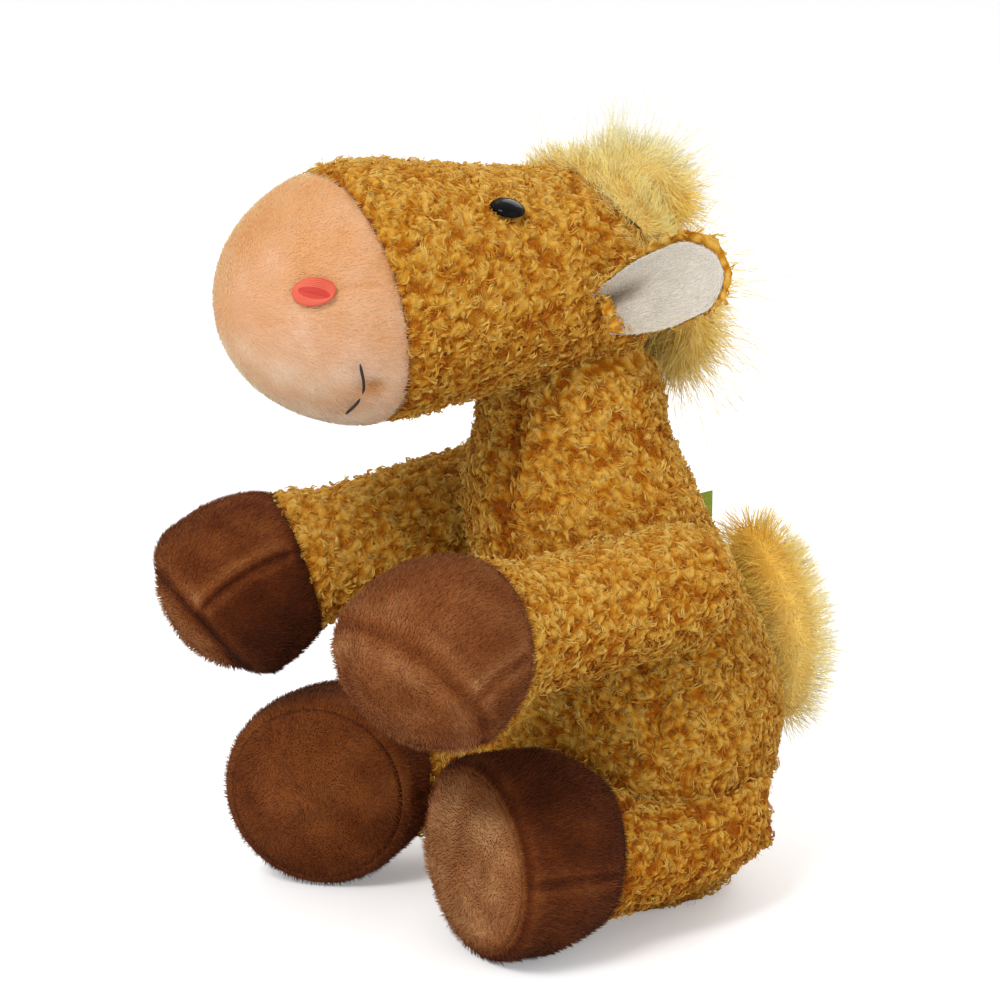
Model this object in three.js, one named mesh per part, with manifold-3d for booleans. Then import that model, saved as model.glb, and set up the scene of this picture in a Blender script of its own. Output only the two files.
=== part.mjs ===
// A sitting plush horse with curly golden fleece, short-pile muzzle and hooves, and a soft mane and tail.
// Millimetres, +Z up. It looks along -Y, its left side is +X, and the origin is the middle of its seat face.
// Each cloth cover is an open shell over its own stuffing, and covers meet at seams.

import * as THREE from 'three';
import { mergeVertices } from 'three/addons/utils/BufferGeometryUtils.js';
import Module from 'manifold-3d';

const wasm = await Module();
wasm.setup();

// Cloth, seams and joints
const clothThickness = 3; // fleece or pile with its backing
const seamGap = 0.3; // between covers that meet at a seam, and between a cover and its stuffing
const jointGap = 0.6; // between surfaces that slide on each other
const floorFlat = 0.5; // how deep a foot is pressed flat where it stands

// Torso: a pear that ends in a ball for a neck
const seatWidth = 54;
const seatDepth = 62;
const bellyWidth = 91;
const bellyDepth = 93;
const bellyHeight = 54;
const chestWidth = 75;
const chestHeight = 92;
const chestForward = 6;
const collarWidth = 66;
const collarHeight = 116;
const collarForward = 13.5;
const neckRadius = 27;
const neckHeight = 139;
const neckForward = 16.5;
const frontSeamAngle = 15; // degrees to its left of the middle
const pouchWidth = 52;
const pouchHeight = 20;

// Head: lies along -Y over the neck ball
const headBack = 7; // how far it reaches behind the seat's middle
const headLength = 128;
const craniumHeight = 177; // of the middle of its back
const noseDrop = 0.5; // how far the nose is below the back's middle
const craniumWidth = 64;
const craniumDepth = 60;
const craniumRound = 20; // length of its rounded back
const muzzleWidth = 69;
const muzzleDepth = 72;
const noseRound = 44; // length of its rounded end
const muzzleSeamForward = 85;
const muzzleSeamTilt = 12; // degrees, top edge forward
const nodBack = 15; // degrees that the head can nod back

// Eyes, nostrils and mouth
const eyeDiameter = 10;
const eyeRim = 0.6; // thickness of its edge
const eyeDome = 3; // height of its dome over that edge
const eyeForward = 49;
const eyeRise = 45; // degrees round the head from level
const shankDiameter = 3.4;
const shankLength = 9;
const washerDiameter = 10;
const washerThickness = 1.6;
const nostrilLength = 11.6;
const nostrilWidth = 7.5;
const nostrilForward = 109;
const nostrilRise = 12;
const stitchThickness = 0.9;
const mouthForward = 94;
const mouthThread = 1.3;
const mouthCorner = 25; // degrees round the head below level

// Ears
const earLength = 35;
const earWidth = 25;
const earThickness = 5;
const earLiningLength = 32;
const earLiningWidth = 20;
const earLiningThickness = 1.6;
const earCup = 5; // depth of the hollow across its full width
const earTurn = 0.6; // how far its hollow faces ahead, from 0 for straight out
const earRoot = 4; // radius of the rolled base
const earForward = 26;
const leftEarRise = -10; // degrees round the head from level
const leftEarOut = 39; // degrees from straight back, outwards
const leftEarTilt = 25; // degrees upwards
const rightEarRise = -8;
const rightEarOut = 26;
const rightEarTilt = 36;
const earFlopAhead = 25;
const earFlopBack = 8;

// Mane
const crownLength = 48;
const crownWidth = 32;
const crownHeight = 22;
const napeLength = 44;
const napeWidth = 32;
const napeHeight = 22;
const napeBehind = 8.5; // from the head's back to its middle

// Arms: hinge across the body at a round shoulder seam
const shoulderApart = 74;
const leftShoulderHeight = 95;
const rightShoulderHeight = 105.5;
const shoulderForward = 6;
const shoulderFace = 30; // from the middle plane to the flat seat of the shoulder seam
const armWidth = 36;
const armReach = 83; // shoulder to hoof centre
const leftArmSplay = 12; // degrees outwards
const rightArmSplay = 13;
const leftArmDrop = 3; // of the hoof below the shoulder
const rightArmDrop = 19;
const armHoofWidth = 50;
const armHoofLength = 37;
const armHoofRound = 9; // length of its rounded rim
const armSoleDepth = 6;
const leftArmRaise = 35; // degrees, until its hoof meets the head
const rightArmRaise = 25;

// Legs: hinge upright at a flat seam beside the seat
const hipApart = 76;
const hipBack = 25;
const hipHeight = 28;
const hipSeamHeight = 24;
const hipSeamThickness = 4.4;
const legWidth = 33;
const legBow = 4; // outwards and down at its middle
const footWidth = 57;
const footLength = 44;
const footRound = 10; // length of its rounded rim
const footSoleDepth = 7;
const leftFootForward = 57;
const leftFootOut = 36;
const rightFootForward = 69;
const rightFootOut = 45;
const rightToeIn = 40;

// Tail
const tailHeight = 68;
const tailLength = 62;
const tailWidth = 38;
const tailDepth = 26;
const tailRoot = 5; // radius of its sewn root
const tailRootLength = 16;
const tailWag = 20; // degrees each way

// Labels
const tagWidth = 8;
const tagLength = 8;
const tagThickness = 1;
const tagHeight = 106;
const sideLabelWidth = 6;
const sideLabelLength = 6;
const sideLabelHeight = 93;
const sideLabelAngle = -28; // degrees round the chest from its middle, minus is to its right
const backTagAngle = 180;

const colours = {
  fleece: '#c08a35',
  muzzle: '#f0b890',
  hoof: '#6f4220',
  sole: '#7a4a26',
  lining: '#ddd3ca',
  mane: '#e8d27a',
  tail: '#e8cb58',
  nostril: '#e8665a',
  thread: '#1b1512',
  eye: '#0c0a09',
  washer: '#e9e7e0',
  stuffing: '#f2efe8',
  pouch: '#c9b48a',
  tag: '#8a9a2a',
  label: '#7fa585',
};
const clothRoughness = 0.95;
const roughness = { eye: 0.08, washer: 0.45 };

const radians = THREE.MathUtils.degToRad;
const point = (x, y, z) => new THREE.Vector3(x, y, z);
const up = point(0, 0, 1);
const across = point(1, 0, 0);
const ahead = point(0, -1, 0);

// A count of steps from one value to another, both ends included
const spaced = (steps, from, to) => (
  Array.from({ length: steps + 1 }, (_, i) => THREE.MathUtils.lerp(from, to, i / steps))
);

const thinnest = 0.2; // half width of a form's smallest ring

const horse = new THREE.Group();
horse.name = 'plush_horse';

// Solids and meshes

function solidOf(geometry) {
  const plain = geometry.clone();
  plain.deleteAttribute('normal');
  plain.deleteAttribute('uv');
  const merged = mergeVertices(plain, 1e-4);
  return new wasm.Manifold(new wasm.Mesh({
    numProp: 3,
    vertProperties: new Float32Array(merged.attributes.position.array),
    triVerts: new Uint32Array(merged.index.array),
  }));
}

function geometryOf(solid) {
  const { vertProperties, triVerts } = solid.getMesh();
  const geometry = new THREE.BufferGeometry();
  geometry.setAttribute('position', new THREE.BufferAttribute(vertProperties, 3));
  geometry.setIndex(new THREE.BufferAttribute(triVerts, 1));
  return geometry;
}

function addPiece(name, solid, finish) {
  const geometry = geometryOf(solid).toNonIndexed();
  geometry.computeVertexNormals();
  const material = new THREE.MeshStandardMaterial({
    color: colours[finish],
    roughness: roughness[finish] ?? clothRoughness,
    metalness: 0,
  });
  const mesh = new THREE.Mesh(geometry, material);
  mesh.name = name;
  horse.add(mesh);
}

const cutAll = (solid, cutters) => cutters.reduce((rest, cutter) => rest.subtract(cutter), solid);

// Everything on one side of a plane through a point, as a block that is bigger than the toy
function halfSpace(through, facing) {
  const reach = 4 * headLength;
  const block = new THREE.BoxGeometry(reach, reach, reach);
  block.translate(0, 0, reach / 2);
  block.applyQuaternion(new THREE.Quaternion().setFromUnitVectors(up, facing.clone().normalize()));
  block.translate(through.x, through.y, through.z);
  return solidOf(block);
}

function ball(centre, radius, segments = 32) {
  const sphere = new THREE.SphereGeometry(radius, segments, segments / 2);
  sphere.rotateX(Math.PI / 2);
  sphere.translate(centre.x, centre.y, centre.z);
  return solidOf(sphere);
}

// A turned solid: its profile of [radius, height] points goes round an axis through a point
function turned(profile, through, axis, segments = 24) {
  const lathe = new THREE.LatheGeometry(profile.map(([r, h]) => new THREE.Vector2(r, h)), segments);
  lathe.applyQuaternion(new THREE.Quaternion().setFromUnitVectors(point(0, 1, 0), axis.clone().normalize()));
  lathe.translate(through.x, through.y, through.z);
  return solidOf(lathe);
}

const rod = (from, axis, radius, length, segments) => (
  turned([[0, 0], [radius, 0], [radius, length], [0, length]], from, axis, segments)
);

// The same solid on the other side of the middle plane
function mirrored(solid) {
  const geometry = geometryOf(solid);
  geometry.scale(-1, 1, 1);
  const corners = geometry.index.array;
  for (let i = 0; i < corners.length; i += 3) [corners[i], corners[i + 1]] = [corners[i + 1], corners[i]];
  return solidOf(geometry);
}

// The same solid after a turn about an axis through a point
function swung(solid, through, axis, degrees) {
  const geometry = geometryOf(solid);
  geometry.translate(-through.x, -through.y, -through.z);
  geometry.applyQuaternion(new THREE.Quaternion().setFromAxisAngle(axis, radians(degrees)));
  geometry.translate(through.x, through.y, through.z);
  return solidOf(geometry);
}

// An oval prism that starts at a point and runs along an axis
function ovalRod(from, axis, longWay, halfLong, halfShort, length) {
  const outline = new THREE.Shape().absellipse(0, 0, halfLong, halfShort, 0, 2 * Math.PI);
  const prism = new THREE.ExtrudeGeometry(outline, { depth: length, bevelEnabled: false, curveSegments: 12 });
  const along = axis.clone().normalize();
  const long = longWay.clone().addScaledVector(along, -longWay.dot(along)).normalize();
  prism.applyMatrix4(new THREE.Matrix4().makeBasis(long, along.clone().cross(long), along));
  prism.translate(from.x, from.y, from.z);
  return solidOf(prism);
}

// A block with one face's middle at a point, running along an axis
function slab(from, axis, wideWay, length, width, thickness) {
  const block = new THREE.BoxGeometry(width, thickness, length);
  block.translate(0, 0, length / 2);
  const along = axis.clone().normalize();
  const wide = wideWay.clone().addScaledVector(along, -wideWay.dot(along)).normalize();
  block.applyMatrix4(new THREE.Matrix4().makeBasis(wide, along.clone().cross(wide), along));
  block.translate(from.x, from.y, from.z);
  return solidOf(block);
}

// A closed skin over rings of points, all with the same count, with a tip at each end
function skinOver(rings, startTip, endTip) {
  const sides = rings[0].length;
  const faces = [];
  for (let i = 0; i < rings.length - 1; i += 1) {
    for (let j = 0; j < sides; j += 1) {
      const next = (j + 1) % sides;
      const [a, b] = [i * sides + j, i * sides + next];
      faces.push(a, a + sides, b, b, a + sides, b + sides);
    }
  }
  const lastRing = (rings.length - 1) * sides;
  const tip = rings.length * sides;
  for (let j = 0; j < sides; j += 1) {
    const next = (j + 1) % sides;
    faces.push(tip, j, next, tip + 1, lastRing + next, lastRing + j);
  }
  const geometry = new THREE.BufferGeometry().setFromPoints([...rings.flat(), startTip, endTip]);
  geometry.setIndex(faces);
  return solidOf(geometry);
}

// A curve through [place, value] pairs that never overshoots them
function profileThrough(pairs) {
  const slopes = pairs.slice(1).map(([x, v], i) => (v - pairs[i][1]) / (x - pairs[i][0]));
  const bends = pairs.map((_, i) => {
    if (i === 0 || i === slopes.length) return slopes[Math.min(i, slopes.length - 1)];
    const [before, after] = [slopes[i - 1], slopes[i]];
    return before * after > 0 ? (2 * before * after) / (before + after) : 0;
  });
  return (x) => {
    const i = pairs.slice(1, -1).filter(([place]) => place <= x).length;
    const [x0, v0] = pairs[i];
    const [x1, v1] = pairs[i + 1];
    const width = x1 - x0;
    const t = THREE.MathUtils.clamp((x - x0) / width, 0, 1);
    return v0 * (1 + 2 * t) * (1 - t) ** 2 + v1 * t * t * (3 - 2 * t)
      + width * (bends[i] * t * (1 - t) ** 2 - bends[i + 1] * t * t * (1 - t));
  };
}

// A stuffed form: ovals along a spine, with each end round or cut flat.
// Half widths and half heights are profiles of the distance along the spine.
class StuffedForm {
  constructor(form) {
    const plain = { roundStart: 0, roundEnd: 0, facing: null, sideways: null, openStart: false };
    Object.assign(this, plain, form);
    const { spine, facing } = this;
    this.length = facing ? spine.getPoint(1).sub(spine.getPoint(0)).dot(facing) : spine.getLength();
  }

  // The middle and the two directions of the oval at a distance along the spine
  frame(distance) {
    const share = THREE.MathUtils.clamp(distance / this.length, 0, 1);
    const tangent = this.facing ?? this.spine.getTangentAt(share);
    const side = this.sideways ?? tangent.clone().cross(up).normalize();
    const high = side.clone().cross(tangent).normalize();
    const centre = this.facing ? this.spine.getPoint(share) : this.spine.getPointAt(share);
    centre.addScaledVector(tangent, distance - share * this.length);
    return { centre, side, high, tangent };
  }

  framesAt(inset, skip) {
    const count = Math.round(this.rings / skip);
    const start = this.openStart ? 0 : inset;
    const end = this.length - inset;
    const places = Array.from({ length: count + 1 }, (_, i) => {
      const t = i / count;
      const bunched = (1 - Math.cos(Math.PI * t)) / 2;
      const share = this.roundStart && this.roundEnd ? bunched : THREE.MathUtils.lerp(t, bunched, 0.5);
      return THREE.MathUtils.lerp(start, end, share);
    });
    return places.map((place) => {
      const cap = Math.min(
        roundness(place, start, this.roundStart && this.roundStart - inset),
        roundness(-place, -end, this.roundEnd && this.roundEnd - inset),
      );
      const { centre, side, high } = this.frame(place);
      const wide = Math.max(this.halfWidth(place) - inset, thinnest) * cap;
      const tall = Math.max(this.halfHeight(place) - inset, thinnest) * cap;
      return { centre, side, high, wide, tall };
    });
  }

  // The closed solid, shrunk evenly by an inset, with fewer faces where it is out of sight
  solid(inset = 0, skip = 1) {
    const frames = this.framesAt(inset, skip);
    const sides = this.sides / skip;
    const wideEnough = ({ wide }) => wide > thinnest / 4;
    const first = frames.findIndex(wideEnough);
    const last = frames.findLastIndex(wideEnough);
    const turns = spaced(sides, 0, 2 * Math.PI).slice(0, -1);
    const ring = ({ centre, side, high, wide, tall }) => turns.map((turn) => (
      centre.clone()
        .addScaledVector(side, wide * Math.cos(turn))
        .addScaledVector(high, tall * Math.sin(turn))
    ));
    const rings = frames.slice(first, last + 1).map(ring);
    const startTip = frames[Math.max(first - 1, 0)].centre;
    const endTip = frames[Math.min(last + 1, frames.length - 1)].centre;
    return skinOver(rings, startTip, endTip);
  }

  // A point on the surface and its outward direction, at a distance along the spine and a turn round it
  surface(distance, turn) {
    const at = (place, angle) => {
      const { centre, side, high } = this.frame(place);
      const cap = Math.min(
        roundness(place, 0, this.roundStart),
        roundness(-place, -this.length, this.roundEnd),
      );
      return centre
        .addScaledVector(side, this.halfWidth(place) * cap * Math.cos(angle))
        .addScaledVector(high, this.halfHeight(place) * cap * Math.sin(angle));
    };
    const step = 0.2;
    const along = at(distance + step, turn).sub(at(distance - step, turn));
    const round = at(distance, turn + step / 10).sub(at(distance, turn - step / 10));
    const here = at(distance, turn);
    const out = along.cross(round).normalize();
    if (out.dot(here.clone().sub(this.frame(distance).centre)) < 0) out.negate();
    return { here, out };
  }
}

// 1 away from a round end, falling to 0 at its tip as an ellipse does
function roundness(place, tip, length) {
  if (length <= 0) return 1;
  const inside = THREE.MathUtils.clamp(1 - (place - tip) / length, 0, 1);
  return Math.sqrt(1 - inside * inside);
}

// Forms

const torsoTop = neckHeight + neckRadius;
const seatCurve = bellyHeight * 0.22; // where the torso is half as much wider as its belly is
const upperTorso = [
  [chestHeight, chestWidth / 2],
  [collarHeight, collarWidth / 2],
  [neckHeight, neckRadius],
  [torsoTop, neckRadius],
];
const torsoGirth = (seat, belly) => profileThrough([
  [0, seat / 2],
  [seatCurve, (seat + belly) / 4],
  [bellyHeight, belly / 2],
  ...upperTorso,
]);
const torsoWidth = torsoGirth(seatWidth, bellyWidth);
const torsoDepth = torsoGirth(seatDepth, bellyDepth);
const torsoLean = profileThrough([
  [0, 0],
  [bellyHeight, 0],
  [chestHeight, -chestForward],
  [collarHeight, -collarForward],
  [neckHeight, -neckForward],
  [torsoTop, -neckForward],
]);

// A spine whose points are worked out from profiles of the distance along one direction
class ProfiledSpine extends THREE.Curve {
  constructor(start, direction, length, sway, lift) {
    super();
    Object.assign(this, { start, direction, length, sway, lift });
  }

  getPoint(share) {
    const distance = share * this.length;
    const at = this.start.clone().addScaledVector(this.direction, distance);
    at.y += this.sway(distance);
    at.z += this.lift(distance);
    return at;
  }
}

const none = () => 0;
const torso = new StuffedForm({
  spine: new ProfiledSpine(point(0, 0, 0), up, torsoTop, torsoLean, none),
  facing: up,
  sideways: across,
  halfWidth: torsoWidth,
  halfHeight: torsoDepth,
  roundEnd: neckRadius,
  openStart: true,
  rings: 16,
  sides: 24,
});
const neckBall = point(0, -neckForward, neckHeight);

const headDrop = profileThrough([[0, 0], [headLength, -noseDrop]]);
const muzzleStart = headBack + muzzleSeamForward;
const widestCranium = headLength * 0.32;
const headGirth = (cranium, muzzle) => profileThrough([
  [0, cranium * 0.46],
  [widestCranium, cranium / 2],
  [muzzleStart, muzzle / 2],
  [headLength, muzzle / 2],
]);
const head = new StuffedForm({
  spine: new ProfiledSpine(point(0, headBack, craniumHeight), ahead, headLength, none, headDrop),
  facing: ahead,
  halfWidth: headGirth(craniumWidth, muzzleWidth),
  halfHeight: headGirth(craniumDepth, muzzleDepth),
  roundStart: craniumRound,
  roundEnd: noseRound,
  rings: 18,
  sides: 24,
});

// Limbs lie along smooth spines from the body to the sole

function armForm(shoulderHeight, splay, drop, raise) {
  const direction = point(Math.sin(radians(splay)), -Math.cos(radians(splay)), 0);
  const shoulder = point(shoulderApart / 2, -shoulderForward, shoulderHeight);
  const along = (reach, fall) => shoulder.clone().addScaledVector(direction, reach).add(point(0, 0, -fall));
  const spine = new THREE.CatmullRomCurve3([
    along(-armWidth / 2, 0),
    along(0, 0),
    along(armReach * 0.55, drop * 0.45),
    along(armReach, drop),
    along(armReach + armHoofWidth * 0.36, drop + armHoofWidth * 0.26),
  ]);
  const length = spine.getLength();
  const seam = length - armHoofLength;
  const girth = profileThrough([
    [0, armWidth / 2],
    [seam - armHoofRound, armWidth / 2],
    [seam + armHoofLength * 0.4, armHoofWidth / 2],
    [length - armHoofRound, armHoofWidth / 2],
    [length, armHoofWidth * 0.42],
  ]);
  const form = new StuffedForm({
    spine,
    halfWidth: girth,
    halfHeight: girth,
    roundStart: armWidth / 2,
    roundEnd: armHoofRound,
    rings: 12,
    sides: 20,
  });
  return { shoulder, drop, raise, seam, form };
}

const leftArm = armForm(leftShoulderHeight, leftArmSplay, leftArmDrop, leftArmRaise);
const rightArm = armForm(rightShoulderHeight, rightArmSplay, rightArmDrop, rightArmRaise);

function legForm(out, forward, toeIn) {
  const hip = point(hipApart / 2, hipBack, hipHeight);
  const footCentre = point(out, -forward, footWidth / 2 - floorFlat);
  const toe = point(-Math.sin(radians(toeIn)), -Math.cos(radians(toeIn)), 0);
  const spine = new THREE.CatmullRomCurve3([
    hip,
    hip.clone().lerp(footCentre, 0.45).add(point(legBow, 0, -legBow)),
    footCentre.clone().addScaledVector(toe, -footLength * 0.1),
    footCentre.clone().addScaledVector(toe, footLength * 0.4),
  ]);
  const length = spine.getLength();
  const seam = length - footLength;
  const lowerLeg = [
    [seam - footRound, legWidth / 2],
    [seam + footLength * 0.45, footWidth / 2],
    [length - footRound, footWidth / 2],
    [length, footWidth * 0.43],
  ];
  return {
    seam,
    form: new StuffedForm({
      spine,
      halfWidth: profileThrough([[0, hipSeamThickness / 2], [length * 0.12, legWidth * 0.27], ...lowerLeg]),
      halfHeight: profileThrough([[0, hipSeamHeight / 2], [length * 0.2, hipSeamHeight * 0.54], ...lowerLeg]),
      roundEnd: footRound,
      rings: 12,
      sides: 20,
    }),
  };
}

const leftLeg = legForm(leftFootOut, leftFootForward, 0);
const rightLeg = legForm(rightFootOut, rightFootForward, rightToeIn);
const floor = halfSpace(point(0, 0, 0), up);

// Torso

// The space that an arm sweeps beside the torso: its round seam and a fan ahead of it
function shoulderSeat({ shoulder, drop, raise }, grow) {
  const half = armWidth / 2 + grow;
  const low = -Math.atan2(drop, armReach);
  const high = radians(raise);
  const fan = Math.hypot(armWidth, half);
  const edge = Math.atan2(half, armWidth);
  const outline = new THREE.Shape();
  outline.moveTo(half * Math.sin(low), -half * Math.cos(low));
  outline.absarc(0, 0, fan, low - edge, high + edge, false);
  outline.absarc(0, 0, half, high + Math.PI / 2, Math.PI * 1.5 + low, false);
  const depth = bellyWidth;
  const sweep = new THREE.ExtrudeGeometry(outline, { depth, bevelEnabled: false, curveSegments: 12 });
  sweep.applyMatrix4(new THREE.Matrix4().makeBasis(ahead, up, point(-1, 0, 0)));
  sweep.translate(shoulderFace - grow + jointGap + depth, shoulder.y, shoulder.z);
  return solidOf(sweep);
}

// What the limbs press into the torso, with a gap or with the cloth's thickness round it
function torsoHollows(grow, skip) {
  return [
    shoulderSeat(leftArm, grow),
    mirrored(shoulderSeat(rightArm, grow)),
    leftLeg.form.solid(-grow, skip),
    mirrored(rightLeg.form.solid(-grow, skip)),
  ];
}

const torsoCavity = (inset) => cutAll(torso.solid(inset, 2), torsoHollows(jointGap + inset, 2));
const torsoShell = cutAll(torso.solid(), torsoHollows(jointGap, 1)).subtract(torsoCavity(clothThickness));

const frontSeam = point(Math.sin(radians(frontSeamAngle)), -Math.cos(radians(frontSeamAngle)), 0);
const besideFrontSeam = (shift) => halfSpace(
  point(0, 0, 0).addScaledVector(frontSeam.clone().cross(up), -shift),
  frontSeam.clone().cross(up).negate(),
);
const besideBackSeam = (shift) => halfSpace(point(shift, 0, 0), across);
const leftSide = (shift) => besideFrontSeam(shift).intersect(besideBackSeam(shift));
addPiece('torso_left_panel', torsoShell.intersect(leftSide(seamGap / 2)), 'fleece');
addPiece('torso_right_panel', torsoShell.subtract(leftSide(-seamGap / 2)), 'fleece');

const underSeat = halfSpace(point(0, 0, clothThickness), point(0, 0, -1));
addPiece('seat_panel', torsoCavity(clothThickness + seamGap).intersect(underSeat), 'fleece');

const pouchFloor = clothThickness + seamGap;
const pouch = new StuffedForm({
  spine: new THREE.LineCurve3(point(0, 0, pouchFloor), point(0, 0, pouchFloor + pouchHeight)),
  sideways: across,
  halfWidth: () => pouchWidth / 2,
  halfHeight: () => pouchWidth / 2,
  roundStart: pouchHeight / 2,
  roundEnd: pouchHeight / 2,
  rings: 6,
  sides: 16,
});
const pouchBody = pouch.solid().intersect(torsoCavity(clothThickness + seamGap * 2));
addPiece('seat_pellet_pouch', pouchBody, 'pouch');
const aboveSeat = halfSpace(point(0, 0, pouchFloor), up);
addPiece(
  'torso_stuffing',
  torsoCavity(clothThickness + seamGap).intersect(aboveSeat).subtract(pouch.solid(-seamGap)),
  'stuffing',
);

// A flat label that stands out from the torso at an angle round from the front
function label(name, angle, height, length, width, thickness, finish) {
  const out = point(Math.sin(radians(angle)), -Math.cos(radians(angle)), 0);
  const inside = point(0, torsoLean(height), height);
  const reach = torsoWidth(height) + length;
  const strip = slab(inside, out, up, reach, width, thickness);
  addPiece(name, strip.subtract(torso.solid(-seamGap)), finish);
}

label('back_tag', backTagAngle, tagHeight, tagLength, tagWidth, tagThickness, 'tag');
label('side_label', sideLabelAngle, sideLabelHeight, sideLabelLength, sideLabelWidth, tagThickness, 'label');

// Head

const seamForward = point(0, -Math.cos(radians(muzzleSeamTilt)), -Math.sin(radians(muzzleSeamTilt)));
const seamMiddle = head.frame(muzzleStart).centre;
const aheadOfSeam = (shift) => halfSpace(seamMiddle.clone().addScaledVector(seamForward, shift), seamForward);
const neckSocket = (grow) => ball(neckBall, neckRadius + jointGap + grow);
const onLeft = (degreesUp) => Math.PI - radians(degreesUp);

const eyeSeat = head.surface(headBack + eyeForward, onLeft(eyeRise));
const behindEye = (depth) => eyeSeat.here.clone().addScaledVector(eyeSeat.out, -depth);
const intoHead = eyeSeat.out.clone().negate();
const shankHole = rod(behindEye(-clothThickness), intoHead, shankDiameter / 2 + seamGap, shankLength * 2, 12);
const washerPocket = rod(behindEye(clothThickness), intoHead, washerDiameter / 2 + seamGap, shankLength, 16);
const eyeHoles = [shankHole, mirrored(shankHole)];
const washerPockets = [washerPocket, mirrored(washerPocket)];

const headHoles = [head.solid(clothThickness, 2), neckSocket(0), ...eyeHoles, ...washerPockets];
const headCover = cutAll(head.solid(), headHoles);
addPiece('head_cover', headCover.subtract(aheadOfSeam(-seamGap / 2)), 'fleece');
addPiece('muzzle_cover', headCover.intersect(aheadOfSeam(seamGap / 2)), 'muzzle');
addPiece(
  'head_stuffing',
  cutAll(head.solid(clothThickness + seamGap, 2), [neckSocket(clothThickness), ...washerPockets]),
  'stuffing',
);

const eyeRadius = eyeDiameter / 2;
const domeSteps = 4;
const dome = Array.from({ length: domeSteps + 1 }, (_, i) => {
  const turn = (Math.PI / 2) * (i / domeSteps);
  return [eyeRadius * Math.cos(turn), seamGap + eyeRim + eyeDome * Math.sin(turn)];
});
const eyeProfile = [
  [0, -shankLength],
  [shankDiameter / 2, -shankLength],
  [shankDiameter / 2, seamGap],
  [eyeRadius, seamGap],
  ...dome.slice(0, -1),
  [0, seamGap + eyeRim + eyeDome],
];
const eye = turned(eyeProfile, eyeSeat.here, eyeSeat.out, 16);
const washerDepth = clothThickness + seamGap;
const washer = rod(behindEye(washerDepth), intoHead, washerDiameter / 2, washerThickness, 12)
  .subtract(rod(behindEye(0), intoHead, shankDiameter / 2 + seamGap, shankLength * 2, 8));
addPiece('left_eye', eye, 'eye');
addPiece('right_eye', mirrored(eye), 'eye');
addPiece('left_eye_washer', washer, 'washer');
addPiece('right_eye_washer', mirrored(washer), 'washer');

const nostrilSeat = head.surface(headBack + nostrilForward, onLeft(nostrilRise));
const overMuzzle = (height) => head.solid(-height);
const stitchLayer = overMuzzle(seamGap + stitchThickness).subtract(overMuzzle(seamGap));
const nostril = stitchLayer.intersect(ovalRod(
  nostrilSeat.here.clone().addScaledVector(nostrilSeat.out, -clothThickness),
  nostrilSeat.out, ahead, nostrilLength / 2, nostrilWidth / 2, clothThickness * 2 + stitchThickness,
));
addPiece('left_nostril', nostril, 'nostril');
addPiece('right_nostril', mirrored(nostril), 'nostril');

const mouthPath = new THREE.CatmullRomCurve3(spaced(8, 180 + mouthCorner, 360 - mouthCorner).map((turn) => {
  const { here, out } = head.surface(headBack + mouthForward, radians(turn));
  return here.addScaledVector(out, seamGap + mouthThread / 2);
}));
const threadRound = new THREE.Shape().absellipse(0, 0, mouthThread / 2, mouthThread / 2, 0, 2 * Math.PI);
const mouth = new THREE.ExtrudeGeometry(threadRound, { steps: 28, curveSegments: 3, extrudePath: mouthPath });
addPiece('mouth_stitch', solidOf(mouth).subtract(overMuzzle(seamGap)), 'thread');

// Ears

// Share of its full width from base to tip
const earOutline = profileThrough([[0, 0.42], [0.26, 0.8], [0.52, 1], [0.78, 0.92], [0.93, 0.6], [1, 0.22]]);

// A cupped leaf along +X with its hollow towards +Z, lying between two heights over its middle surface
function earLeaf(length, halfWidth, low, high) {
  const stations = 7;
  const half = 3;
  const steps = Array.from({ length: 2 * half + 1 }, (_, k) => (k - half) / half);
  const rings = Array.from({ length: stations + 1 }, (_, i) => {
    const reach = i / stations;
    const wide = halfWidth * earOutline(reach);
    const corner = (height) => (s) => {
      const cup = earCup * (wide * s / (earWidth / 2)) ** 2;
      return point(length * reach, wide * s, cup + height);
    };
    return [...steps.map(corner(high)), ...steps.toReversed().map(corner(low))];
  });
  const middle = (low + high) / 2;
  return skinOver(rings, point(0, 0, middle), point(length, 0, middle));
}

// Moves a solid made round the origin so that its X and Z axes lie along two directions from a point
function placed(solid, at, xWay, zWay) {
  const geometry = geometryOf(solid);
  geometry.applyMatrix4(new THREE.Matrix4().makeBasis(xWay, zWay.clone().cross(xWay), zWay));
  geometry.translate(at.x, at.y, at.z);
  return solidOf(geometry);
}

// Both ears are made on the left, and the right one is mirrored
function earPlace(out, tilt, rise) {
  const seat = head.surface(headBack + earForward, onLeft(rise));
  const root = seat.here.clone().addScaledVector(seat.out, earRoot + jointGap);
  const along = point(
    Math.sin(radians(out)) * Math.cos(radians(tilt)),
    Math.cos(radians(out)) * Math.cos(radians(tilt)),
    Math.sin(radians(tilt)),
  );
  const hollow = seat.out.clone().lerp(ahead, earTurn);
  hollow.addScaledVector(along, -hollow.dot(along)).normalize();
  return { root, along, hollow, axis: along.clone().cross(hollow) };
}

const rollWidth = earWidth * earOutline(0);
const rootRoll = rod(point(0, -rollWidth / 2, 0), point(0, 1, 0), earRoot, rollWidth, 14);
const earShell = earLeaf(earLength, earWidth / 2, -earThickness / 2, earThickness / 2).add(rootRoll);
const liningLow = earThickness / 2 + seamGap;
const earLining = earLeaf(earLiningLength, earLiningWidth / 2, liningLow, liningLow + earLiningThickness)
  .subtract(rod(point(0, -earWidth, 0), point(0, 1, 0), earRoot + seamGap, earWidth * 2, 14))
  .intersect(halfSpace(point(earRoot + seamGap, 0, 0), across));
const leftEar = earPlace(leftEarOut, leftEarTilt, leftEarRise);
const rightEar = earPlace(rightEarOut, rightEarTilt, rightEarRise);

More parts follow.
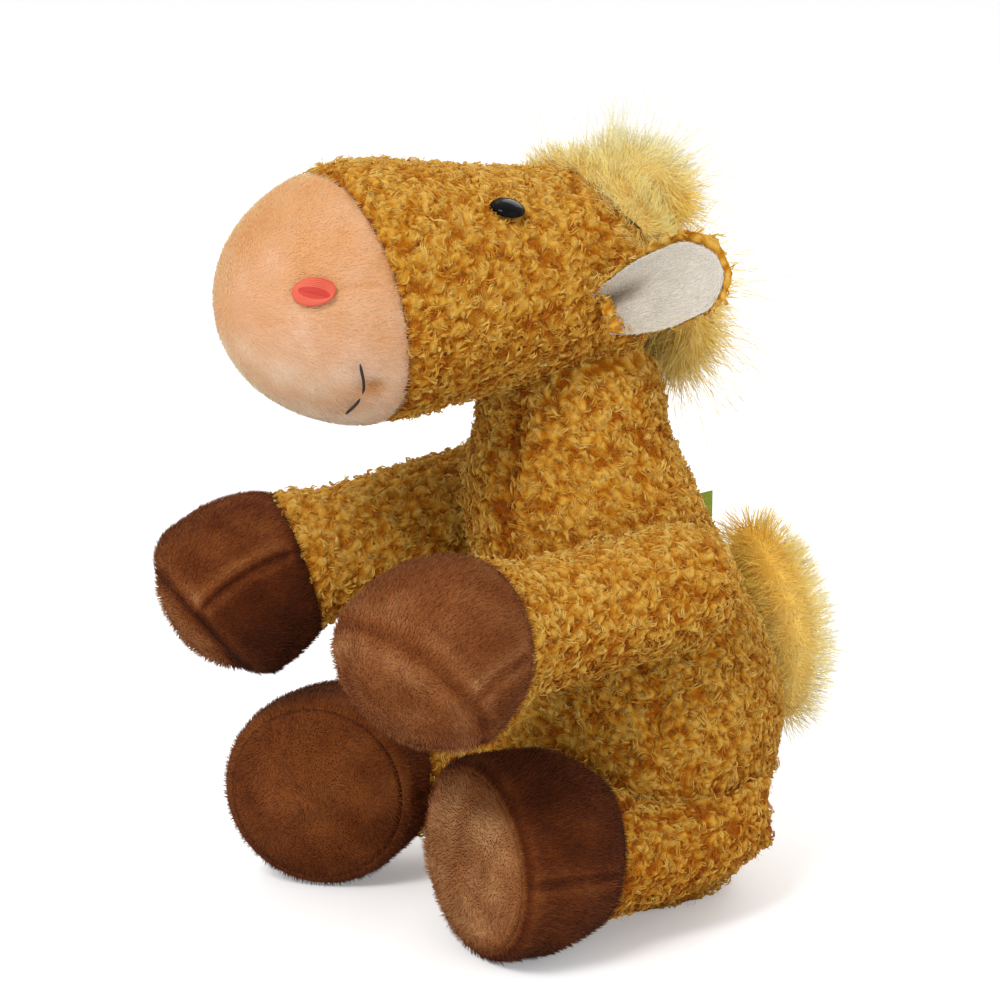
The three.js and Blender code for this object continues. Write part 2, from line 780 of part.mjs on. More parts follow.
// An ear's piece in its place, clear of the head however the ear flops
function onHead(solid, { root, along, hollow, axis }) {
  const flops = spaced(3, -earFlopAhead, earFlopBack);
  const headSweep = flops.map((angle) => swung(head.solid(-jointGap), root, axis, angle));
  return cutAll(placed(solid, root, along, hollow), headSweep);
}

addPiece('left_ear_shell', onHead(earShell, leftEar), 'fleece');
addPiece('left_ear_lining', onHead(earLining, leftEar), 'lining');
addPiece('right_ear_shell', mirrored(onHead(earShell, rightEar)), 'fleece');
addPiece('right_ear_lining', mirrored(onHead(earLining, rightEar)), 'lining');

// Mane: a crown tuft over the top of the head and a nape tuft down its back

function tuft({ path, width, height, rings = 10, sides = 14 }) {
  const spine = new THREE.CatmullRomCurve3(path);
  return new StuffedForm({
    spine,
    sideways: across,
    halfWidth: () => width / 2,
    halfHeight: () => height / 2,
    roundStart: spine.getLength() / 2,
    roundEnd: spine.getLength() / 2,
    rings,
    sides,
  });
}

const overHead = head.solid(-seamGap);
const crownFoot = craniumHeight + craniumDepth / 2;
const crown = tuft({
  path: [
    point(0, headBack - crownLength * 0.5, crownFoot - crownHeight * 0.1),
    point(0, headBack - crownLength * 0.05, crownFoot - crownHeight * 0.1),
    point(0, headBack + crownLength * 0.3, crownFoot - crownHeight * 0.8),
  ],
  width: crownWidth,
  height: crownHeight,
});
addPiece('mane_crown', crown.solid().subtract(overHead), 'mane');
const nape = tuft({
  path: [0.2, -0.3, -0.8].map((share) => (
    point(0, headBack + napeBehind, craniumHeight + napeLength * share)
  )),
  width: napeWidth,
  height: napeHeight,
});
const nods = [0, nodBack / 2, nodBack];
const napeClear = nods.map((angle) => swung(torso.solid(-jointGap), neckBall, across, angle));
addPiece('mane_nape', cutAll(nape.solid(), [overHead, crown.solid(-seamGap), ...napeClear]), 'mane');

// Limbs: a fleece sleeve, then a hoof of an upper and a lower panel with an oval sole, over one stuffing

function addLimb(name, form, seam, cutters, soleDepth, place) {
  const plane = (distance) => {
    const { centre, tangent } = form.frame(distance);
    return (shift) => halfSpace(centre.clone().addScaledVector(tangent, shift), tangent);
  };
  const beyondSeam = plane(seam);
  const beyondSole = plane(form.length - soleDepth);
  const { centre, high } = form.frame(form.length - soleDepth);
  const above = (shift) => halfSpace(centre.clone().addScaledVector(high, shift), high);
  const cutForm = (inset) => cutAll(form.solid(inset, inset ? 2 : 1), cutters(inset));
  const shell = cutForm(0).subtract(cutForm(clothThickness));
  const half = seamGap / 2;
  const wall = shell.intersect(beyondSeam(half)).subtract(beyondSole(-half));
  addPiece(`${name}_sleeve`, place(shell.subtract(beyondSeam(-half))), 'fleece');
  addPiece(`${name}_hoof_upper`, place(wall.intersect(above(half))), 'hoof');
  addPiece(`${name}_hoof_lower`, place(wall.subtract(above(-half))), 'hoof');
  addPiece(`${name}_hoof_sole`, place(shell.intersect(beyondSole(half))), 'sole');
  addPiece(`${name}_stuffing`, place(cutForm(clothThickness + seamGap)), 'stuffing');
}

const same = (solid) => solid;

// How far out the torso reaches at a distance from a shoulder's axis, wherever the arm goes
function torsoReach({ shoulder, raise }, distance) {
  const spare = 30;
  const reaches = spaced(16, radians(-spare), radians(raise + spare)).map((turn) => {
    const height = shoulder.z + distance * Math.sin(turn);
    const behind = shoulder.y - distance * Math.cos(turn) - torsoLean(height);
    return torsoWidth(height) * Math.sqrt(Math.max(0, 1 - (behind / torsoDepth(height)) ** 2));
  });
  return Math.min(shoulderFace, Math.max(...reaches));
}

// The turned face on which an arm slides, flat at its seam and then as far out as the torso reaches
const shoulderCheek = (arm) => (grow) => {
  const flatReach = Math.hypot(armWidth, armWidth / 2 + jointGap) + jointGap;
  const steps = spaced(8, flatReach, armReach).toReversed();
  const slope = steps.map((distance) => [distance + grow, torsoReach(arm, distance) + jointGap + grow]);
  const rim = armReach + grow;
  const { y, z } = arm.shoulder;
  const face = shoulderFace + jointGap + grow;
  const profile = [[0, -armWidth], [rim, -armWidth], ...slope, [flatReach + grow, face], [0, face]];
  return turned(profile, point(0, y, z), across, 40);
};
const armCuts = (arm) => (inset) => [shoulderCheek(arm)(inset)];
addLimb('left_arm', leftArm.form, leftArm.seam, armCuts(leftArm), armSoleDepth, same);
addLimb('right_arm', rightArm.form, rightArm.seam, armCuts(rightArm), armSoleDepth, mirrored);

const legCuts = (inset) => [halfSpace(point(0, 0, inset), point(0, 0, -1))];
addLimb('left_leg', leftLeg.form, leftLeg.seam, legCuts, footSoleDepth, same);
addLimb('right_leg', rightLeg.form, rightLeg.seam, legCuts, footSoleDepth, mirrored);

// Tail: a sewn root that the tuft turns with, flat against the back

const rootFoot = tailHeight - tailRootLength / 2;
const besideRoot = spaced(4, rootFoot, rootFoot + tailRootLength);
const backReach = Math.max(...besideRoot.map((height) => torsoDepth(height) + torsoLean(height)));
const tailPivot = point(0, backReach + jointGap + tailRoot, tailHeight);
const rootRod = (grow) => rod(
  point(0, tailPivot.y, rootFoot - grow), up, tailRoot + grow, tailRootLength + grow * 2, 16,
);
addPiece('tail_root', rootRod(0), 'fleece');
const grooveLength = tailRootLength + seamGap * 2;
const openGroove = slab(tailPivot, ahead, up, tailDepth, grooveLength, tailRoot * 2);
const tailTuft = tuft({
  path: [0.5, 0, -0.5].map((share) => tailPivot.clone().addScaledVector(up, tailLength * share)),
  width: tailWidth,
  height: tailDepth,
});
const wags = [-tailWag, 0, tailWag];
const tailClear = wags.map((angle) => swung(torso.solid(-jointGap), tailPivot, up, angle));
addPiece('tail_tuft', cutAll(tailTuft.solid(), [rootRod(seamGap), openGroove, ...tailClear]), 'tail');

export default horse;
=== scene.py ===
"""Looks of a sitting plush horse: curly golden fleece, short-pile muzzle and hooves, long soft mane and tail.

Lengths are written in millimetres and turned to metres when a mesh is made. Forms follow the sizes of the solids, with
small departures for likeness.
"""

import math
from contextlib import contextmanager
from functools import partial
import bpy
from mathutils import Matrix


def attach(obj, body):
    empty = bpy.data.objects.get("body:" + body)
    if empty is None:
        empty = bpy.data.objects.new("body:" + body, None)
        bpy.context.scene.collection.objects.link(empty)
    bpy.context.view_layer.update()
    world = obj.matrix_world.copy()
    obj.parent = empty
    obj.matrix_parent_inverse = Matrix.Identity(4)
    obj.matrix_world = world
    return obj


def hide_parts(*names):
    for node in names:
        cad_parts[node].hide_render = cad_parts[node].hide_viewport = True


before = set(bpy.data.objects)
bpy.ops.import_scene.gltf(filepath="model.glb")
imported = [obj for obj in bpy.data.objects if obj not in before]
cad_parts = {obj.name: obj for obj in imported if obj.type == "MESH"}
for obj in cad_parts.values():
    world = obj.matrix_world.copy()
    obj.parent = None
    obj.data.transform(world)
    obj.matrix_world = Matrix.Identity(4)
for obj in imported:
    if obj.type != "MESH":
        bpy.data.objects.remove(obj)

from types import SimpleNamespace

import bmesh
import bpy
import numpy as np
from mathutils import Vector, noise

noise.seed_set(7)  # unseeded, the noise behind the fleece's puffs differs from run to run
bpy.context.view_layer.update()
MM = 0.001
UP = np.array([0.0, 0.0, 1.0])
ACROSS = np.array([1.0, 0.0, 0.0])
AHEAD = np.array([0.0, -1.0, 0.0])


# Sizes of the toy

SEAT_WIDTH, SEAT_DEPTH = 54, 62
BELLY_WIDTH, BELLY_DEPTH, BELLY_HEIGHT = 91, 93, 54
CHEST_WIDTH, CHEST_HEIGHT, CHEST_FORWARD = 75, 92, 6
COLLAR_WIDTH, COLLAR_HEIGHT, COLLAR_FORWARD = 66, 116, 13.5
NECK_RADIUS, NECK_HEIGHT, NECK_FORWARD = 27, 139, 16.5
FRONT_SEAM_ANGLE, FRONT_SEAM_LOW, FRONT_SEAM_HIGH, SEAM_FADE = 15, 88, 150, 12

HEAD_BACK, HEAD_LENGTH, CRANIUM_HEIGHT, NOSE_DROP = 7, 128.6, 177, 1.6
CRANIUM_WIDTH, CRANIUM_DEPTH, CRANIUM_ROUND = 64, 60, 20
MUZZLE_WIDTH, MUZZLE_DEPTH, NOSE_ROUND = 69, 72, 44
MUZZLE_SEAM_FORWARD, MUZZLE_SEAM_TILT = 85, 12

EYE_DIAMETER, EYE_FORWARD, EYE_RISE = 9.6, 49, 48
EYE_FACING = (0.31, 0.04, 0.95)  # of the left eye
MOUTH_PLACE, MOUTH_CORNERS = 101, (218, 322)
NOSTRIL_LENGTH, NOSTRIL_WIDTH, NOSTRIL_FORWARD, NOSTRIL_RISE = 11.6, 7.5, 107.2, 14

EAR_LENGTH, EAR_WIDTH, EAR_THICKNESS, EAR_CUP, EAR_ROOT, EAR_FORWARD = 35, 25, 5, 5, 4, 26
EAR_SUNK = 3.5
LEFT_EAR = {"rise": -10, "out": 39, "tilt": 25}
RIGHT_EAR = {"rise": -8, "out": 26, "tilt": 36}
JOINT_GAP = 0.6

SHOULDER_APART, SHOULDER_FORWARD = 74, 6
ARM_WIDTH, ARM_REACH, ARM_HOOF_WIDTH, ARM_HOOF_LENGTH, ARM_HOOF_ROUND = 36, 83, 51.5, 39, 17
LEFT_ARM = {"height": 95, "splay": 12, "drop": 3, "sole": 13}
RIGHT_ARM = {"height": 107, "splay": 13, "drop": 20.5, "sole": 7}

HIP_APART, HIP_BACK, HIP_HEIGHT, HIP_SEAM_HEIGHT, HIP_SEAM_THICKNESS = 76, 25, 28, 24, 4.4
LEG_WIDTH, LEG_BOW, FOOT_WIDTH, FOOT_LENGTH, FOOT_ROUND = 33, 4, 57, 44, 10
FLOOR_FLAT = 0.5
LEFT_LEG = {"out": 36, "forward": 57, "toe_in": 0, "sole": 7}
RIGHT_LEG = {"out": 44, "forward": 67.5, "toe_in": 40, "sole": 7}

TAIL_HEIGHT, TAIL_MIDDLE = 68, 51.4

# How deep the cloth's backing lies under the outer face of its pile
FLEECE_DEPTH, PILE_DEPTH = 1.7, 1.3
FLEECE_PUFF = 1.1  # how much a puff stands over the gaps between puffs

# Distances between the points of each cloth's grid
FLEECE_CELL, MUZZLE_CELL, HOOF_CELL, SHELL_CELL, LINING_CELL, HAIR_CELL = 1.1, 1.4, 1.5, 1.0, 0.9, 1.6

# Heights over the floor at which resting cloth is flat
FLEECE_LOWEST, PILE_LOWEST = 0.4, 0.3

# Seeds for planting, and how many kinds of a strand a tree picks from
MUZZLE_SEED, LINING_SEED, FRINGE_SEED = 3, 8, 6
LOCK_KINDS, SPIKE_KINDS, HAIR_KINDS = 24, 3, 12


# Forms

def eased(pairs):
    """A curve through (place, value) pairs that never overshoots them."""
    xs, vs = np.array(pairs, float).T
    slopes = np.diff(vs) / np.diff(xs)
    product = slopes[:-1] * slopes[1:]
    total = slopes[:-1] + slopes[1:]
    inner = np.where(product > 0, 2 * product / np.where(total == 0, 1, total), 0)
    bends = np.concatenate([slopes[:1], inner, slopes[-1:]])

    def value(x):
        x = np.asarray(x, float)
        i = np.clip(np.searchsorted(xs, x, side="right") - 1, 0, len(xs) - 2)
        width = xs[i + 1] - xs[i]
        t = np.clip((x - xs[i]) / width, 0, 1)
        ends = vs[i] * (1 + 2 * t) * (1 - t) ** 2 + vs[i + 1] * t * t * (3 - 2 * t)
        return ends + width * (bends[i] * t * (1 - t) ** 2 - bends[i + 1] * t * t * (1 - t))

    return value


def smooth_curve(points):
    """Points along a curve through the given ones, spaced by the square root of their distances."""
    steps = 60
    points = [np.array(p, float) for p in points]
    points = [2 * points[0] - points[1], *points, 2 * points[-1] - points[-2]]
    out = []
    for p0, p1, p2, p3 in zip(points, points[1:], points[2:], points[3:]):
        d0, d1, d2 = (max(np.linalg.norm(b - a) ** 0.5, 1e-4) for a, b in ((p0, p1), (p1, p2), (p2, p3)))
        m1 = ((p1 - p0) / d0 - (p2 - p0) / (d0 + d1) + (p2 - p1) / d1) * d1
        m2 = ((p2 - p1) / d1 - (p3 - p1) / (d1 + d2) + (p3 - p2) / d2) * d1
        for t in np.linspace(0, 1, steps, endpoint=False):
            out.append((2 * t**3 - 3 * t**2 + 1) * p1 + (t**3 - 2 * t**2 + t) * m1
                       + (3 * t**2 - 2 * t**3) * p2 + (t**3 - t**2) * m2)
    return np.array(out + [points[-2]])


def unit(v):
    return v / np.maximum(np.linalg.norm(v, axis=-1, keepdims=True), 1e-12)


class Form:
    """A stuffed form: ovals along a spine, with each end round or cut flat."""

    def __init__(self, centres, places, half_width, half_height, tangents=None, sideways=None, round_start=0,
                 round_end=0):
        self.places = places
        self.centres = centres
        self.length = places[-1]
        self.half_width, self.half_height = half_width, half_height
        self.round_start, self.round_end = round_start, round_end
        if tangents is None:
            tangents = unit(np.gradient(centres, places, axis=0))
        self.tangents = np.broadcast_to(tangents, centres.shape)
        side = np.cross(self.tangents, UP) if sideways is None else np.broadcast_to(sideways, centres.shape)
        self.sides = unit(side)
        self.highs = unit(np.cross(self.sides, self.tangents))

    def blend(self, values, place):
        return np.stack([np.interp(place, self.places, values[:, k]) for k in range(3)], axis=-1)

    def frame(self, place):
        """Centre, side way, high way and tangent at a distance along the spine."""
        return tuple(self.blend(v, place) for v in (self.centres, self.sides, self.highs, self.tangents))

    def cap(self, place, inset=0.0):
        """1 away from a round end, falling to 0 at its tip as an ellipse does."""
        value = np.ones_like(place)
        for tip, length in ((place - inset, self.round_start), (self.length - inset - place, self.round_end)):
            if length > 0:
                inside = np.clip(1 - tip / max(length - inset, 1e-6), 0, 1)
                value = np.minimum(value, np.sqrt(1 - inside**2))
        return value

    def surface(self, place, turn, inset=0.0):
        """Points on the form's skin, an inset under its outer face."""
        place, turn = np.broadcast_arrays(np.asarray(place, float), np.asarray(turn, float))
        centre, side, high, _ = self.frame(place)
        cap = self.cap(place, inset)
        wide = (self.half_width(place) - inset) * cap
        tall = (self.half_height(place) - inset) * cap
        return centre + side * (wide * np.cos(turn))[..., None] + high * (tall * np.sin(turn))[..., None]

    def outward(self, place, turn):
        """The surface's outward direction at one place."""
        step = 0.2
        along = self.surface(place + step, turn) - self.surface(place - step, turn)
        around = self.surface(place, turn + step / 10) - self.surface(place, turn - step / 10)
        out = unit(np.cross(along, around))
        return out if out @ (self.surface(place, turn) - self.frame(place)[0]) > 0 else -out


def form_along(points, half_width, half_height, **ends):
    """A form whose spine is a smooth curve through points, measured along the curve."""
    centres = smooth_curve(points)
    places = np.concatenate([[0], np.cumsum(np.linalg.norm(np.diff(centres, axis=0), axis=1))])
    return Form(centres, places, half_width(places[-1]), half_height(places[-1]), **ends)


def torso_form():
    top = NECK_HEIGHT + NECK_RADIUS

    def girth(seat, belly):
        return eased([(0, seat / 2), (BELLY_HEIGHT * 0.22, (seat + belly) / 4), (BELLY_HEIGHT, belly / 2),
                      (CHEST_HEIGHT, CHEST_WIDTH / 2), (COLLAR_HEIGHT, COLLAR_WIDTH / 2), (NECK_HEIGHT, NECK_RADIUS),
                      (top, NECK_RADIUS)])

    lean = eased([(0, 0), (BELLY_HEIGHT, 0), (CHEST_HEIGHT, -CHEST_FORWARD), (COLLAR_HEIGHT, -COLLAR_FORWARD),
                  (NECK_HEIGHT, -NECK_FORWARD), (top, -NECK_FORWARD)])
    heights = np.linspace(0, top, 200)
    centres = np.stack([heights * 0, lean(heights), heights], axis=-1)
    return Form(centres, heights, girth(SEAT_WIDTH, BELLY_WIDTH), girth(SEAT_DEPTH, BELLY_DEPTH), tangents=UP,
                sideways=ACROSS, round_end=NECK_RADIUS)


def head_form():
    drop = eased([(0, 0), (HEAD_LENGTH, -NOSE_DROP)])

    def girth(cranium, muzzle):
        return eased([(0, cranium * 0.46), (HEAD_LENGTH * 0.32, cranium / 2),
                      (HEAD_BACK + MUZZLE_SEAM_FORWARD, muzzle / 2), (HEAD_LENGTH, muzzle / 2)])

    places = np.linspace(0, HEAD_LENGTH, 200)
    centres = np.stack([places * 0, HEAD_BACK - places, CRANIUM_HEIGHT + drop(places)], axis=-1)
    return Form(centres, places, girth(CRANIUM_WIDTH, MUZZLE_WIDTH), girth(CRANIUM_DEPTH, MUZZLE_DEPTH), tangents=AHEAD,
                round_start=CRANIUM_ROUND, round_end=NOSE_ROUND)


def hoofed(form, hoof_length, sole):
    """A limb's form with the places where its hoof and its sole begin."""
    form.seam, form.sole_seam = form.length - hoof_length, form.length - sole
    return form


def arm_form(height, splay, drop, sole, side):
    splay = math.radians(splay)
    way = np.array([math.sin(splay) * side, -math.cos(splay), 0])
    shoulder = np.array([SHOULDER_APART / 2 * side, -SHOULDER_FORWARD, height])
    reach = [(-ARM_WIDTH / 2, 0), (0, 0), (ARM_REACH * 0.55, drop * 0.45), (ARM_REACH, drop),
             (ARM_REACH + ARM_HOOF_WIDTH * 0.4, drop + ARM_HOOF_WIDTH * 0.29)]
    points = [shoulder + way * out - UP * fall for out, fall in reach]

    def girth(length):
        seam = length - ARM_HOOF_LENGTH
        return eased([(0, ARM_WIDTH / 2), (seam - ARM_HOOF_ROUND, ARM_WIDTH / 2),
                      (seam + ARM_HOOF_LENGTH * 0.4, ARM_HOOF_WIDTH / 2),
                      (length - ARM_HOOF_ROUND, ARM_HOOF_WIDTH / 2), (length, ARM_HOOF_WIDTH * 0.42)])

    form = form_along(points, girth, girth, round_start=ARM_WIDTH / 2, round_end=ARM_HOOF_ROUND)
    return hoofed(form, ARM_HOOF_LENGTH, sole)


def leg_form(out, forward, toe_in, sole, side):
    hip = np.array([HIP_APART / 2 * side, HIP_BACK, HIP_HEIGHT])
    foot = np.array([out * side, -forward, FOOT_WIDTH / 2 - FLOOR_FLAT])
    toe_in = math.radians(toe_in)
    toe = np.array([-math.sin(toe_in) * side, -math.cos(toe_in), 0])
    middle = hip + (foot - hip) * 0.45 + np.array([LEG_BOW * side, 0, -LEG_BOW])
    points = [hip, middle, foot - toe * FOOT_LENGTH * 0.1, foot + toe * FOOT_LENGTH * 0.4]

    def swell(root, calf):
        def along(length):
            seam = length - FOOT_LENGTH
            return eased([*root(length), (seam - FOOT_ROUND, calf), (seam + FOOT_LENGTH * 0.45, FOOT_WIDTH / 2),
                          (length - FOOT_ROUND, FOOT_WIDTH / 2), (length, FOOT_WIDTH * 0.43)])
        return along

    width = swell(lambda length: [(0, HIP_SEAM_THICKNESS / 2), (length * 0.12, LEG_WIDTH * 0.27)], LEG_WIDTH / 2)
    height = swell(lambda length: [(0, HIP_SEAM_HEIGHT / 2), (length * 0.2, HIP_SEAM_HEIGHT * 0.54)], LEG_WIDTH / 2)
    return hoofed(form_along(points, width, height, round_end=FOOT_ROUND), FOOT_LENGTH, sole)


# Node trees

def feed(tree, node, inputs):
    """Gives a node's inputs their values or links."""
    for key, value in inputs.items():
        if isinstance(value, bpy.types.NodeSocket):
            tree.links.new(value, node.inputs[key])
        else:
            node.inputs[key].default_value = value


def add(tree, kind, inputs=None, **settings):
    """A new node with its settings and inputs."""
    node = tree.nodes.new(kind)
    for name, value in settings.items():
        setattr(node, name, value)
    feed(tree, node, inputs or {})
    return node


def number(tree, operation, *values, **more):
    """What an operation makes of numbers."""
    return add(tree, "ShaderNodeMath", dict(enumerate(values)), operation=operation, **more).outputs[0]


def linear(hex_colour):
    """An sRGB hex colour as the linear values that Blender takes."""
    parts = [int(hex_colour[i:i + 2], 16) / 255 for i in (1, 3, 5)]
    return (*(c / 12.92 if c <= 0.04045 else ((c + 0.055) / 1.055) ** 2.4 for c in parts), 1.0)


def ramp(tree, factor, stops):
    """A colour ramp from (place, hex) stops."""
    node = add(tree, "ShaderNodeValToRGB", {0: factor})
    elements = node.color_ramp.elements
    while len(elements) < len(stops):
        elements.new(0.5)
    for element, (place, colour) in zip(elements, stops):
        element.position = place
        element.color = linear(colour)
    return node.outputs[0]


TONES = 32  # columns of the strand map, from the darkest strands to the lightest


def new_material(name):
    """A material with its node tree and its shader."""
    material = bpy.data.materials.new(name)
    material.use_nodes = True
    return material, material.node_tree, material.node_tree.nodes["Principled BSDF"]


def noise_texture(tree, place, scale, **more):
    """A noise texture's outputs."""
    return add(tree, "ShaderNodeTexNoise", {"Vector": place, "Scale": scale, **more}).outputs


def strand_material(name, tones, root, rough, sheen, sheen_tint, soft=0.0):
    """Fibre in tones from dark to light that darkens towards its root, as painted shade.

    The strand map's u holds a strand's tone and, within it, the way round; v runs from root to tip.
    """
    material, tree, shader = new_material(name)
    strands = add(tree, "ShaderNodeUVMap", uv_map="OFBake").outputs[0]
    parts = add(tree, "ShaderNodeSeparateXYZ", {0: strands}).outputs
    column = number(tree, "FLOOR", number(tree, "MULTIPLY", parts[0], float(TONES)))
    tone = number(tree, "DIVIDE", column, float(TONES - 1))
    # Painted shade: each strand is darker towards its root, deep among the others.
    painted_root_shade = ramp(tree, parts[1], [(0.0, root), (0.55, "#ffffff")])
    coloured = add(tree, "ShaderNodeMix", {0: 1.0, 6: ramp(tree, tone, tones), 7: painted_root_shade},
                   data_type="RGBA", blend_type="MULTIPLY").outputs[2]
    feed(tree, shader, {
        "Base Color": coloured, "Roughness": rough, "Specular IOR Level": 0.2,
        "Sheen Weight": sheen, "Sheen Roughness": 0.5, "Sheen Tint": linear(sheen_tint),
        "Subsurface Weight": soft, "Subsurface Radius": (1.0, 0.6, 0.25), "Subsurface Scale": 0.8 * MM})
    return material


def backing_material(name, tones, grain, mottling):
    """The dense foot of the pile over its backing, toned as the strands on it are, with a fibrous surface."""
    material, tree, shader = new_material(name)
    place = add(tree, "ShaderNodeTexCoord").outputs["Object"]
    bent = noise_texture(tree, place, 0.4 / (grain * MM), Detail=1.0)["Color"]
    shifted = add(tree, "ShaderNodeVectorMath", {0: bent, 1: (grain * MM * 3,) * 3}, operation="MULTIPLY").outputs[0]
    moved = add(tree, "ShaderNodeVectorMath", {0: place, 1: shifted}, operation="ADD").outputs[0]
    fibres = noise_texture(tree, moved, 1 / (grain * MM), Detail=2.0, Roughness=0.6)[0]
    mottle = add(tree, "ShaderNodeMapRange", {0: fibres, 1: 0.3, 2: 0.7, 3: -mottling, 4: mottling}).outputs[0]
    mixed = number(tree, "ADD", add(tree, "ShaderNodeAttribute", attribute_name="tone").outputs["Fac"], mottle)
    bump = add(tree, "ShaderNodeBump", {"Strength": 0.6, "Distance": 0.4 * MM, "Height": fibres}).outputs[0]
    feed(tree, shader, {"Base Color": ramp(tree, mixed, tones), "Normal": bump, "Roughness": 0.95,
                        "Specular IOR Level": 0.1})
    return material


def plain_material(name, colour, rough, grain=None, **more):
    """A moulded or spun finish: one colour with a slight mottle and a fine surface."""
    material, tree, shader = new_material(name)
    place = add(tree, "ShaderNodeTexCoord").outputs["Object"]
    mottle = noise_texture(tree, place, 1 / ((grain or 1) * MM), Detail=2.0)[0]
    light = linear(colour)
    dark = (*(c * 0.75 for c in light[:3]), 1)
    mottled = add(tree, "ShaderNodeMix", {0: mottle, 6: dark, 7: light}, data_type="RGBA").outputs[2]
    feed(tree, shader, {"Base Color": mottled, "Roughness": rough, **more})
    if grain:
        bump = add(tree, "ShaderNodeBump", {"Strength": 0.5, "Distance": 0.1 * MM, "Height": mottle})
        feed(tree, shader, {"Normal": bump.outputs[0]})
    return material


# Meshes

def placed(name, data):
    """A new object in the scene from its data."""
    made = bpy.data.objects.new(name, data)
    bpy.context.scene.collection.objects.link(made)
    return made


def mark(piece, label, kind, values):
    """Gives each point of a piece its value or vector under a label."""
    attribute = piece.data.attributes.new(label, kind, "POINT")
    attribute.data.foreach_set("vector" if kind == "FLOAT_VECTOR" else "value", values)


def new_object(name, vertices, faces, material=None, smooth=True):
    """A mesh object at the origin from points in millimetres."""
    mesh = bpy.data.meshes.new(name)
    mesh.from_pydata((np.asarray(vertices) * MM).tolist(), [], faces)
    mesh.polygons.foreach_set("use_smooth", [smooth] * len(mesh.polygons))
    mesh.update()
    if material:
        mesh.materials.append(material)
    return placed(name, mesh)


@contextmanager
def opened(piece):
    """A piece's mesh for edits that are then written back to it."""
    mesh = bmesh.new()
    mesh.from_mesh(piece.data)
    yield mesh
    mesh.to_mesh(piece.data)
    mesh.free()


def ring(centre, side, high, radius, sides, start=0.0):
    """Points round a circle, one a side."""
    turns = [2 * math.pi * k / sides + start for k in range(sides)]
    return [centre + (side * math.cos(turn) + high * math.sin(turn)) * radius for turn in turns]


def puffs(points, size):
    """How high each point stands on the puffs of a fleece, from 0 between them to 1 on top of one."""
    flat = points.reshape(-1, 3)
    heights = np.empty(len(flat))
    for i, p in enumerate(flat):
        at = Vector(p / size)
        heights[i] = noise.voronoi(at + noise.noise_vector(at * 0.8) * 0.7)[0][0]
    heights = 1 - np.clip((heights - 0.15) / 0.65, 0, 1)
    return (heights * heights * (3 - 2 * heights)).reshape(points.shape[:-1])


def patches(points, size):
    """Soft random patches from 0 to 1, a size across."""
    values = np.array([noise.fractal(Vector(p / size), 1.0, 2.0, 2) for p in points.reshape(-1, 3)])
    return np.clip(0.5 + 0.5 * values, 0, 1).reshape(points.shape[:-1])


def sided(name, side):
    """A piece's name on the toy's left (+1) or right (-1)."""
    return f"left_{name}" if side > 0 else f"right_{name}"


